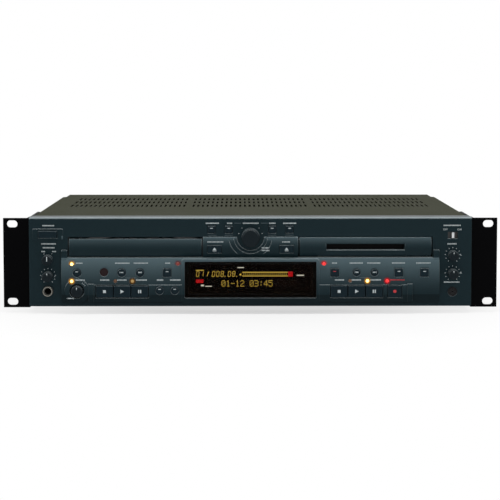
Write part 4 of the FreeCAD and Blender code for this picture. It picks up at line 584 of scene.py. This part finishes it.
class DECK_OT_case(bpy.types.Operator):
    """Paints the front, cover, brackets, rear and underside, with painted highlights along edges and painted highlight
    and shade on the front.
    """
    bl_idname = "deck.case"
    bl_label = "Finish Case"

    def execute(self, context):
        colours, sizes = context.scene.deck_colours, context.scene.deck_sizes
        # The front carries painted highlights along its edges and painted light and shade in height bands.
        front = finish("front_paint", colours.face, 0.34, variation=0.3, scale=1400.0, uneven=0.12, bump=0.000012,
                       highlight_amount=0.75, dust=0.05, specular=0.06, edge=sizes.edge, zones=[
                           # painted highlight along the top edge
                           painted_light_band(FRONT_HALF, 85.8, 87.2, -0.0014, colours.rim, 0.4),
                           # painted sheen on the block, lightest at its top where it leans back toward the light
                           painted_light_band(BLOCK_HALF, 12.0, 47.8, 0.0004, colours.painted_sheen, 1.5),
                           # painted shade low on the block
                           painted_light_band(BLOCK_HALF, 0.0, 12.0, 0.0004, colours.low, 0.0),
                           # painted sheen above the block, such as on the tray front, lightest at the top
                           painted_light_band(BLOCK_HALF, 47.9, 69.0, 0.0001, colours.painted_sheen, 5.0)])
        apply_finish(front, "front_fascia", "md_bezel", "tray_front")
        # painted highlight along the cover's edges
        cover = finish("cover_paint", colours.cover, 0.7, variation=0.5, scale=1900.0, uneven=0.2, bump=0.00005,
                       highlight_amount=0.25, highlight_tint=(0.3, 0.3, 0.27), dust=0.08, specular=0.02, edge=sizes.edge)
        apply_finish(cover, "top_cover")
        # faint painted highlight along the edges of the brackets and rear
        ears = finish("bracket_paint", colours.ear, 0.5, variation=0.3, scale=1500.0, highlight_amount=0.05, specular=0.03,
                      highlight_tint=(0.2, 0.2, 0.2), edge=sizes.edge)
        apply_finish(ears, "rack_ears", "rear_panel")
        zinc = finish("zinc_plate", (0.52, 0.52, 0.5), 0.38, metallic=1.0, variation=0.35, scale=120.0, uneven=0.3,
                      dust=0.1)
        apply_finish(zinc, "chassis_pan", "md_drive_frame", "md_holder")
        # painted highlight along the screw edges
        steel = finish("black_screw", (0.02, 0.02, 0.022), 0.35, metallic=0.6, highlight_amount=0.5, highlight_tint=(0.4, 0.4, 0.4))
        apply_finish(steel, "screws")
        apply_finish(finish("foot_plastic", (0.018, 0.018, 0.019), 0.6, scale=500.0, dust=0.2), "feet")
        return {"FINISHED"}


class DECK_OT_controls(bpy.types.Operator):
    """Finishes the keys, knobs, dial and switch, with painted highlights along the edges of keys, knobs and dial."""
    bl_idname = "deck.controls"
    bl_label = "Finish Controls"

    def execute(self, context):
        colours, sizes = context.scene.deck_colours, context.scene.deck_sizes
        # painted highlight along the key edges
        keys = finish("key_plastic", colours.block, 0.4, variation=0.25, scale=1600.0, bump=0.00001, highlight_amount=0.75,
                      specular=0.08, edge=sizes.edge * 0.8)
        apply_finish(keys, *[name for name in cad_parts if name.endswith("_button")])
        # painted highlight along the edges of the knobs and dial
        knobs = finish("knob_plastic", colours.knob, 0.36, variation=0.25, scale=1600.0, bump=0.00001, highlight_amount=0.3,
                       specular=0.1, edge=sizes.edge * 0.6)
        apply_finish(knobs, *[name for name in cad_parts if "_knob" in name], "jog_dial", "jog_shaft")
        low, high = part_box("timer_switch_slider")
        cap = finish("switch_plastic", (0.02, 0.02, 0.02), 0.4, zones=[
            ((low[0], low[1] - MM, low[2]), (high[0], FACE + 0.0004, high[2]), (0.75, 0.77, 0.78), 0.0, 0.0)])
        apply_finish(cap, "timer_switch_slider")
        return {"FINISHED"}


class DECK_OT_inside(bpy.types.Operator):
    """Finishes the drives, boards, sockets and slot flap"""
    bl_idname = "deck.inside"
    bl_label = "Finish Drives and Sockets"

    def execute(self, context):
        colours = context.scene.deck_colours
        plastic = finish("drive_plastic", (0.022, 0.022, 0.024), 0.5, variation=0.3, scale=700.0, bump=0.00003,
                         dust=0.1)
        apply_finish(plastic, "cd_drive_frame", "cd_tray", "disc_clamp", "cd_pickup_sled", "md_pickup_sled")
        flap = finish("flap_plastic", (0.003, 0.003, 0.0035), 0.6, variation=0.3, scale=700.0, specular=0.08)
        apply_finish(flap, "md_slot_flap")
        gear = finish("gear_plastic", (0.6, 0.58, 0.5), 0.45, variation=0.15, scale=400.0)
        apply_finish(gear, "tray_drive_gear")
        metal = finish("bright_metal", colours.metal, 0.28, metallic=1.0, variation=0.2, scale=300.0, uneven=0.2)
        apply_finish(metal, "cd_turntable", "md_turntable", "drive_motors")
        board = finish("circuit_board", colours.board, 0.45, variation=0.5, scale=350.0, zones=[
            ((-0.25, -0.2, FLOOR_OF_FRONT + 0.0055), (0.25, 0.2, 0.2), (0.03, 0.03, 0.032), 0.0, 0.0)])
        apply_finish(board, "circuit_boards")
        low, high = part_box("front_sockets")
        nut, window = (((left, low[1] - MM, low[2] - MM), (right, FACE + 0.003, high[2] + MM))
                       for left, right in ((low[0] - MM, -0.19), (-0.15, -0.13)))
        front = finish("socket_parts", (0.012, 0.012, 0.013), 0.4, specular=0.15, zones=[
            (*nut, (0.07, 0.07, 0.065), 1.0, 0.0), (*window, (0.012, 0.003, 0.004), 0.0, 0.0)])
        apply_finish(front, "front_sockets")
        rear_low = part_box("rear_panel")[1][1]
        rear = finish("rear_socket_parts", (0.014, 0.014, 0.015), 0.4, zones=[
            ((-0.004, rear_low + 0.0016, 0.0), (0.09, 0.2, 0.2), tuple(colours.metal), 1.0, 0.0)])
        apply_finish(rear, "rear_sockets")
        holders = finish("lamp_holder", (0.3, 0.12, 0.04), 0.35, variation=0.1)
        apply_finish(holders, "indicator_leds")
        return {"FINISHED"}


KEY_SYMBOLS = {
    "cd_stop": "stop", "cd_play": "play", "cd_ready": "pause", "md_stop": "stop", "md_play": "play",
    "md_ready": "pause", "record": "record", "open_close": "eject", "eject": "eject", "cd_skip_back": "back",
    "cd_skip_forward": "forward", "md_skip_back": "back", "md_skip_forward": "forward",
    **dict.fromkeys(("cd_menu", "no", "yes", "md_menu", "cd_select", "md_select", "number", "input_select",
                     "key_control", "time", "display"), "dash"),
}
RED_KEYS = ("record", "md_select")
LOWER_ROW = 15.2  # height of the lower row's symbols above the lower edge of the front
# How far each symbol reaches and how far it stands above the middle of its key, unless it is in the lower row.
SYMBOL_SIZES = {"stop": (1.55, None), "play": (1.9, None), "pause": (1.7, None), "record": (1.6, None),
                "eject": (1.8, -0.4), "back": (1.35, 0.3), "forward": (1.35, 0.3), "dash": (1.3, 1.1)}


def printed(name, tint):
    return finish(name, tint, 0.5, variation=0.1, bump=0.0)


class DECK_OT_key_symbols(bpy.types.Operator):
    """Prints a symbol or a dash on each key, riding with the key"""
    bl_idname = "deck.key_symbols"
    bl_label = "Print Key Symbols"

    def execute(self, context):
        colours, sizes = context.scene.deck_colours, context.scene.deck_sizes
        white, red = printed("ink", colours.ink), printed("red_ink", colours.red_ink)
        for key, kind in KEY_SYMBOLS.items():
            button = key + "_button"
            low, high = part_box(button)
            reach, rise = SYMBOL_SIZES[kind]
            centre = FLOOR_OF_FRONT + LOWER_ROW * MM if rise is None else (low[2] + high[2]) / 2 + rise * MM
            outlines = symbol(kind, (low[0] + high[0]) / 2, centre, reach * MM)
            mesh = plates(outlines, sizes.ink_thick, [button])
            keep(key + "_symbol", mesh, button, red if key in RED_KEYS else white)
        return {"FINISHED"}


POINTERS = {"monitor_knob": 4.6, "phones_level_knob": 1.6, "input_level_knob_left": 1.6, "input_level_knob_right": 1.6,
            "pitch_knob": 2.0}  # lengths in millimetres
POINTER_END = 0.36  # how far from its middle a knob's pointer ends, as a share of the knob's height


class DECK_OT_pointers(bpy.types.Operator):
    """Prints the pointer lines of the knobs"""
    bl_idname = "deck.pointers"
    bl_label = "Print Knob Pointers"

    def execute(self, context):
        colours, sizes = context.scene.deck_colours, context.scene.deck_sizes
        white = printed("ink", colours.ink)
        for knob, long in POINTERS.items():
            low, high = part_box(knob)
            x, z = (low[0] + high[0]) / 2, (low[2] + high[2]) / 2 + (high[2] - low[2]) * POINTER_END - long * MM / 2
            mesh = plates([box_outline(x, z, sizes.pointer_wide, long * MM)], sizes.ink_thick, [knob])
            keep(knob + "_pointer", mesh, knob, white)
        return {"FINISHED"}


# Marks of the front in millimetres: x, height above the lower edge and width.
DASHES = [
    (-34.2, 63.1, 15.0), (34.6, 63.0, 8.0), (14.6, 57.3, 8.0), (14.6, 54.9, 8.0),
    (-37.2, 81.2, 12.8), (-20.4, 81.2, 4.4), (0.2, 81.2, 15.4), (21.2, 81.2, 5.6), (38.1, 81.2, 12.8),
    (-196.6, 79.0, 11.8), (-196.4, 61.2, 13.4), (-196.4, 57.4, 11.4), (-201.7, 53.7, 3.5), (-191.2, 53.7, 4.0),
    (196.4, 79.0, 16.0), (196.4, 60.9, 9.0), (196.4, 23.4, 15.0),
    (-166.4, 42.6, 6.2), (-124.6, 42.6, 13.6), (-106.6, 42.6, 13.6), (-80.6, 42.6, 5.0), (-165.4, 26.4, 9.3),
    (-141.6, 26.4, 8.3), (-124.9, 26.4, 9.0), (-105.9, 26.4, 10.4), (-87.9, 26.4, 6.2), (-73.2, 26.4, 10.2),
    (-175.2, 8.5, 7.0), (81.6, 42.5, 5.3), (102.8, 42.5, 13.2), (119.9, 42.5, 13.2), (143.9, 42.5, 12.2),
    (168.2, 42.5, 13.8), (86.4, 26.3, 8.4), (102.8, 26.3, 8.4), (121.6, 26.3, 10.4),
]
RED_DASHES = [(142.6, 26.3, 13.4)]
FINE_LINES = [
    (-37.3, 69.5, 8.3), (-21.1, 69.5, 8.3), (21.1, 69.5, 8.3), (38.0, 69.5, 8.3), (-12.4, 81.3, 6.9),
    (13.4, 81.3, 7.0), (-115.9, 28.4, 12.0), (111.4, 28.4, 11.0), (-75.0, 42.6, 3.0),
]
LEVEL_RINGS = [(-197.2, 29.9), (197.2, 50.0), (197.2, 32.0)]  # middles of the level knobs
# Other ticks round knobs: x, height and radius in millimetres, count, first angle and sweep in degrees.
TICKS = [(-197.2, 46.1, 6.6, 2, 145, 70), (-168.6, 15.6, 9.4, 3, 215, 20), (0, 68.1, 11.8, 2, 105, 30),
         (0, 68.1, 11.8, 2, 225, 30)]
FIGURES = [("OFF", 189.8, 74.9), ("ON", 203.6, 74.9), ("L", 205.4, 50.2), ("R", 205.4, 32.4), ("-", -203.6, 29.0),
           ("+", -190.8, 29.0)]


class DECK_OT_front_marks(bpy.types.Operator):
    """Prints the dashes, lines, ticks and figures on the front"""
    bl_idname = "deck.front_marks"
    bl_label = "Print Front Marks"

    def execute(self, context):
        colours, sizes = context.scene.deck_colours, context.scene.deck_sizes
        white, faint = printed("ink", colours.ink), printed("faint_ink", colours.faint)
        red = printed("red_ink", colours.red_ink)
        ticks = [(x, up, sizes.tick_ring / MM, 11, 35, 290) for x, up in LEVEL_RINGS] + TICKS
        for name, marks, make, material in (
                ("front_dashes", DASHES, dash_row, white), ("record_dashes", RED_DASHES, dash_row, red),
                ("fine_lines", FINE_LINES, line, faint), ("front_ticks", ticks, tick_ring, white)):
            rows = [row for mark in marks for row in make(*mark, sizes)]
            tiles(name, rows, material, sizes.ink_thick * 2)
        words = []
        for text, x, up in FIGURES:
            z = FLOOR_OF_FRONT + up * MM
            words.append(lettering(text, x * MM, z, sizes.letter, sizes.ink_thick, surface(x * MM, z)))
        keep("front_figures", joined(words), "deck", white)
        return {"FINISHED"}


DIGITS = {
    "0": "01110 10001 10011 10101 11001 10001 01110", "1": "00100 01100 00100 00100 00100 00100 01110",
    "2": "01110 10001 00001 00110 01000 10000 11111", "3": "11110 00001 00001 01110 00001 00001 11110",
    "4": "00010 00110 01010 10010 11111 00010 00010", "5": "11111 10000 11110 00001 00001 10001 01110",
    "-": "00000 00000 00000 11111 00000 00000 00000",
    ":": "00000 00100 00100 00000 00100 00100 00000", " ": "00000 00000 00000 00000 00000 00000 00000",
}
# Lit bars of the figures: a to f run clockwise from the top, and g is the middle one.
BARS = {"0": "abcdef", "1": "bc", "8": "abcdefg"}
BAR_PLACES = {"a": (0, 2, True), "g": (0, 0, True), "d": (0, -2, True), "f": (-1, 1, False), "b": (1, 1, False),
              "e": (-1, -1, False), "c": (1, -1, False)}  # side, level and whether it lies flat
DISPLAY_TEXT = "01-12 03:45"
DISPLAY_CELLS = 16
TEXT_START, TEXT_WIDE, TEXT_UP = -28.75, 50.7, 21.6  # left end, width and height of the text, in millimetres
# Time figures of the display with their x, their height, and the stroke between two of them, in millimetres.
TIME_FIGURES = list(zip("0100808", (-51.6, -47.4, -36.2, -31.9, -27.6, -20.6, -16.4)))
TIME_UP, STROKE_X, STROKE_WIDE, STROKE_TURN = 31.0, -41.7, 0.45, 0.35
# Other lit bars of the display in millimetres: x, height above the lower edge of the front, width and height.
LIT_BARS = [(-24.9, 28.6, 0.7, 0.7), (-13.6, 28.6, 0.7, 0.7), (-49.5, 34.6, 8.0, 0.5), (14.2, 32.6, 44.6, 0.55),
            (14.2, 28.9, 44.6, 0.55), (-10.0, 30.3, 2.0, 0.6), (-9.4, 30.3, 0.6, 2.2)]
RED_BARS = [(39.1, 30.75, 4.6, 4.9), (-49.7, 23.8, 7.4, 3.4)]
PALE_BARS = [(-9.6, 37.2, 6.4, 0.9), (48.8, 29.5, 7.2, 1.1), (-47.0, 19.6, 3.0, 1.6), (-41.0, 18.8, 6.6, 0.8)]
METER_MARKS, METER_START, METER_WIDE = 22, -7.6, 43.6
METER_BARS = [(METER_START + METER_WIDE * (step + 0.5) / METER_MARKS, 30.75, 1.0, 1.5) for step in range(METER_MARKS)]
FIGURE_THICK, DOT_THICK = 0.00008, 0.00006
TUBE_GAP = 0.00004  # how far figures stand in front of the tube


class DECK_OT_display(bpy.types.Operator):
    """Makes the smoked window and the lit figures on the display tube"""
    bl_idname = "deck.display"
    bl_label = "Light Display"

    def tube(self, x, up, wide, tall, turn=0.0):
        """A tile just in front of the display tube, from its place and size in millimetres."""
        return (x * MM, TUBE_FRONT - TUBE_GAP, FLOOR_OF_FRONT + up * MM, wide * MM, tall * MM, turn)

    def figure(self, digit, x, up, tall):
        """The lit bars of one slanted figure."""
        half, lean, bar = tall / 4, 0.12, tall * 0.068
        wide = tall * 0.46
        rows = []
        for key in BARS[digit]:
            side, level, flat = BAR_PLACES[key]
            z = level * half
            shape = (wide * 0.8, bar, 0.0) if flat else (bar, half * 1.6, lean)
            rows.append(self.tube(x + side * wide / 2 + z * lean, up + z, *shape))
        return rows

    def execute(self, context):
        colours, sizes = context.scene.deck_colours, context.scene.deck_sizes
        apply_finish(smoked_acrylic(), "display_window")
        glass = finish("tube_glass", (0.003, 0.002, 0.0015), 0.3, variation=0.2, scale=200.0, bump=0.0, specular=0.05)
        apply_finish(glass, "display_tube")
        amber = glow("amber_figures", colours.figures, 4.4)
        red = glow("red_figures", colours.red_light, 2.6)
        pale = glow("pale_figures", (0.9, 0.85, 0.7), 3.6)
        dim = glow("unlit_dots", colours.ghost, 0.9)
        tall = sizes.figure_tall / MM
        lit = [bar for digit, x in TIME_FIGURES for bar in self.figure(digit, x, TIME_UP, tall)]
        lit.append(self.tube(STROKE_X, TIME_UP, STROKE_WIDE, tall * 0.9, STROKE_TURN))
        marks, bars, red_bars, pale_bars = ([self.tube(*bar) for bar in group]
                                            for group in (METER_BARS, LIT_BARS, RED_BARS, PALE_BARS))
        dots, ghosts = [], []
        pitch = sizes.dot_pitch / MM
        cell = TEXT_WIDE / len(DISPLAY_TEXT)
        for place, letter in enumerate(DISPLAY_TEXT.ljust(DISPLAY_CELLS)):
            left = TEXT_START + place * cell + (cell - 4 * pitch) / 2
            for row, bits in enumerate(DIGITS[letter].split()):
                for column, bit in enumerate(bits):
                    target = dots if bit == "1" else ghosts
                    up = TEXT_UP + (3 - row) * pitch * 1.12
                    target.append(self.tube(left + column * pitch, up, sizes.dot / MM, sizes.dot / MM))
        for name, rows, material, thick in (
                ("display_bars", lit + bars + dots, amber, FIGURE_THICK),
                ("display_meter_marks", marks, glow("meter_marks", colours.figures, 1.4), FIGURE_THICK),
                ("display_unlit_dots", ghosts, dim, DOT_THICK),
                ("display_red_bars", red_bars, red, FIGURE_THICK),
                ("display_pale_bars", pale_bars, pale, FIGURE_THICK)):
            tiles(name, rows, material, thick)
        return {"FINISHED"}


# Lamps in millimetres: x, height above the lower edge and how far out of the face.
AMBER_LAMPS = [(-173.6, 41.9, 4.3), (-173.6, 25.4, 5.6), (113.6, 25.4, 5.6)]
RED_LAMPS = [(71.4, 41.9, 4.3), (132.8, 25.4, 5.6)]
DIM_RED_LAMPS = [(-70.7, 41.9, 4.3)]
DIM_AMBER_LAMPS = [(-114.7, 25.4, 5.6)]
DARK_LAMPS = [(-131.3, 25.4, 5.6), (96.8, 25.4, 5.6)]
LAMP_HOLE = 0.0027  # just past the edge of a lamp's hole
FILM_GAP, FILM_RISE = 0.00012, 0.0001  # how far a halo's film stands off the paint, and its middle off the film


def halo_material(name, light):
    """Light that spreads from a lamp over the paint round it, fading outwards."""
    made, tree, shader = new_material(name)
    falloff = add(tree, "ShaderNodeAttribute", attribute_name="falloff")["Fac"]
    grained(tree, shader, "Emission Color", light, 0.1, 600.0, 0.6, 0.1)
    shader.inputs["Base Color"].default_value = (0.0, 0.0, 0.0, 1.0)
    shader.inputs["Specular IOR Level"].default_value = 0.0
    shader.inputs["Emission Strength"].default_value = 1.0
    wire(tree, calc(tree, "POWER", falloff, 1.4, True), shader.inputs["Alpha"])
    return made


def halos(name, places, radius, material):
    """Thin round films on the front, dense in the middle and clear at the rim."""
    corners, faces, falloff = [], [], []
    sides = 24
    for x, y, z in places:
        first = len(corners)
        corners += [(x, y - FILM_RISE, z), (x, y + FILM_RISE, z)]
        corners += [(a, y, b) for a, b in dot_outline(x, z, radius, sides)]
        falloff += [1.0, 1.0] + [0.0] * sides
        for step in range(sides):
            here, after = first + 2 + step, first + 2 + (step + 1) % sides
            faces += [(first, here, after), (first + 1, after, here)]
    mesh = bpy.data.meshes.new(name)
    mesh.from_pydata(corners, [], faces)
    mesh.attributes.new("falloff", "FLOAT", "POINT").data.foreach_set("value", falloff)
    keep(name, mesh, "deck", material)


class DECK_OT_lamps(bpy.types.Operator):
    """Puts domed lenses on the lamps, lit as the photograph shows them"""
    bl_idname = "deck.lamps"
    bl_label = "Light Lamps"

    def execute(self, context):
        colours, sizes = context.scene.deck_colours, context.scene.deck_sizes
        for name, places, material in (
                ("amber_lamps", AMBER_LAMPS, glow("amber_lamp", colours.amber, 4.5)),
                ("red_lamps", RED_LAMPS, glow("red_lamp", colours.red_light, 1.7)),
                ("dim_red_lamps", DIM_RED_LAMPS, glow("dim_red_lamp", colours.red_light, 0.2)),
                ("dim_amber_lamps", DIM_AMBER_LAMPS, glow("dim_amber_lamp", colours.amber, 0.35)),
                ("dark_lamps", DARK_LAMPS, finish("dark_lamp", (0.12, 0.05, 0.02), 0.2, bump=0.0))):
            points = [(x * MM, FACE - proud * MM, FLOOR_OF_FRONT + up * MM) for x, up, proud in places]
            lenses(name, points, sizes.lens, material)
        for name, places, light in (
                ("amber_halo", AMBER_LAMPS, (0.75, 0.33, 0.03)), ("red_halo", RED_LAMPS, (0.62, 0.01, 0.02)),
                ("faint_red_halo", DIM_RED_LAMPS, (0.16, 0.012, 0.016)),
                ("faint_amber_halo", DIM_AMBER_LAMPS, (0.16, 0.07, 0.01))):
            spots = []
            for x, up, _ in places:
                z = FLOOR_OF_FRONT + up * MM
                beside = [surface(x * MM + side * LAMP_HOLE, z) for side in (-1, 1)]
                spots.append((x * MM, min(beside) - FILM_GAP, z))
            halos(name, spots, sizes.halo, halo_material(name, light))
        return {"FINISHED"}


PHONES_X, PHONES_UP = -197.2, 15.0
WASHER_X = (5, 29, 53, 77)
WASHERS = (("white_washers", 42, (0.8, 0.8, 0.78)), ("red_washers", 22, (0.5, 0.02, 0.02)))  # name, height and colour


class DECK_OT_sockets(bpy.types.Operator):
    """Adds the plated rings and coloured washers of the sockets"""
    bl_idname = "deck.sockets"
    bl_label = "Fit Socket Rings"

    def execute(self, context):
        plated = finish("phones_ring", (0.26, 0.25, 0.22), 0.35, metallic=1.0)
        place = (PHONES_X * MM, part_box("front_sockets")[0][1], FLOOR_OF_FRONT + PHONES_UP * MM)
        rings("phones_ring", [place], 0.0043, 0.0004, plated)
        for name, level, ink in WASHERS:
            points = [(x * MM, REAR_END - 0.0001, FLOOR_OF_FRONT + level * MM) for x in WASHER_X]
            rings(name, points, 0.0025, 0.0006, finish(name, ink, 0.35, variation=0.1))
        return {"FINISHED"}


# Lights: name, place, the point each is aimed at, width and depth.
LIGHTS = [("strip_light", (0, -0.29, 1.2), (0, -0.1, 0), 1.7, 0.06),
          ("fill_light", (0.2, -2.4, 1.3), (0, 0, 0.05), 1.6, 1.1),
          ("rear_light", (0, 1.4, 1.1), (0, 0.1, 0.05), 1.2, 0.6)]
FLOOR_FADE = (0.15, 0.34)  # where the floor's shadow starts to go and where it is gone, from the middle
FLOOR_NEAR = 0.6  # how white the floor is shown under the deck
CAMERA_PLACE = (-0.01027, -1.484, 0.22542)
CAMERA_DOWN, CAMERA_ROUND = 3.641, 0.416  # degrees
CAMERA_LENS, CAMERA_SHIFT = 99.96, -0.1595


def aimed(eye, target):
    return (Vector(target) - Vector(eye)).to_track_quat("-Z", "Y").to_euler()


def lamp(name, place, target, wide, deep, power):
    light = bpy.data.lights.new(name, "AREA")
    light.shape, light.size, light.size_y, light.energy = "RECTANGLE", wide, deep, power
    made = bpy.data.objects.new(name, light)
    made.location, made.rotation_euler = place, aimed(place, target)
    bpy.context.scene.collection.objects.link(made)


def seen_directly(tree):
    """1 for what the camera sees, itself or in a reflection or through a clear piece."""
    rays = add(tree, "ShaderNodeLightPath")
    past = calc(tree, "MAXIMUM", rays["Is Glossy Ray"], rays["Is Transmission Ray"])
    return calc(tree, "MAXIMUM", rays["Is Camera Ray"], past)


def pale_floor():
    """White paint, shown as plain white a little way out from the object, and with its shadow near it."""
    made, tree, shader = new_material("pale_floor")
    grained(tree, shader, "Base Color", (0.9, 0.9, 0.9), 0.01, 40.0, 0.8, 0.05)
    shader.inputs["Specular IOR Level"].default_value = 0.1
    reach = add(tree, "ShaderNodeVectorMath", {0: object_place(tree)}, operation="LENGTH")["Value"]
    start, end = FLOOR_FADE
    far = add(tree, "ShaderNodeMapRange", {"Value": reach, "From Min": start, "From Max": end, "To Min": FLOOR_NEAR})
    shown = calc(tree, "MULTIPLY", seen_directly(tree), far[0])
    white = add(tree, "ShaderNodeEmission")
    mixed = add(tree, "ShaderNodeMixShader", {0: shown, 1: shader.outputs[0], 2: white[0]})
    wire(tree, mixed[0], tree.nodes["Material Output"].inputs["Surface"])
    return made


class DECK_OT_stage(bpy.types.Operator):
    """Sets up the floor, surroundings, lights and camera"""
    bl_idname = "deck.stage"
    bl_label = "Set Up Stage"

    def execute(self, context):
        studio, scene = context.scene.deck_studio, context.scene
        half = studio.floor_half
        mesh = bpy.data.meshes.new("floor")
        mesh.from_pydata([(-half, -half, 0), (half, -half, 0), (half, half, 0), (-half, half, 0)], [], [(0, 1, 2, 3)])
        mesh.materials.append(pale_floor())
        floor = bpy.data.objects.new("floor", mesh)
        scene.collection.objects.link(floor)
        for light, power in zip(LIGHTS, (studio.strip_power, studio.fill_power, studio.rear_power)):
            lamp(*light, power)
        world = bpy.data.worlds.new("surroundings")
        world.use_nodes = True
        tree = world.node_tree
        back = tree.nodes["Background"]
        back.inputs["Color"].default_value = (1, 1, 1, 1)
        strength = calc(tree, "ADD", calc(tree, "MULTIPLY", seen_directly(tree), 1.0 - studio.world), studio.world)
        wire(tree, strength, back.inputs["Strength"])
        scene.world = world
        view = bpy.data.cameras.new("view")
        view.sensor_width, view.lens, view.shift_y = 36.0, CAMERA_LENS, CAMERA_SHIFT
        view.clip_end = 50.0
        camera = bpy.data.objects.new("camera", view)
        camera.location = CAMERA_PLACE
        camera.rotation_euler = (math.radians(90 - CAMERA_DOWN), 0, -math.radians(CAMERA_ROUND))
        scene.collection.objects.link(camera)
        scene.camera = camera
        scene.view_settings.view_transform = "Standard"
        return {"FINISHED"}


OPERATORS = (DECK_OT_case, DECK_OT_controls, DECK_OT_inside, DECK_OT_key_symbols, DECK_OT_pointers, DECK_OT_front_marks,
             DECK_OT_display, DECK_OT_lamps, DECK_OT_sockets, DECK_OT_stage)


class DECK_PT_panel(bpy.types.Panel):
    bl_idname = "DECK_PT_panel"
    bl_label = "Disc Deck"
    bl_space_type = "VIEW_3D"
    bl_region_type = "UI"
    bl_category = "Disc Deck"

    def draw(self, context):
        for operator in OPERATORS:
            self.layout.operator(operator.bl_idname)
        for group in (context.scene.deck_sizes, context.scene.deck_colours, context.scene.deck_studio):
            box = self.layout.box()
            for name in group.__annotations__:
                box.prop(group, name)


GROUPS = (("deck_sizes", DeckSizes), ("deck_colours", DeckColours), ("deck_studio", DeckStudio))


def register():
    for name, group in GROUPS:
        bpy.utils.register_class(group)
        setattr(bpy.types.Scene, name, PointerProperty(type=group))
    for made in (*OPERATORS, DECK_PT_panel):
        bpy.utils.register_class(made)


def unregister():
    for made in (DECK_PT_panel, *reversed(OPERATORS)):
        bpy.utils.unregister_class(made)
    for name, group in reversed(GROUPS):
        delattr(bpy.types.Scene, name)
        bpy.utils.unregister_class(group)


def main():
    register()
    for operator in OPERATORS:
        family, step = operator.bl_idname.split(".")
        getattr(getattr(bpy.ops, family), step)()


if __name__ == "__main__":
    main()
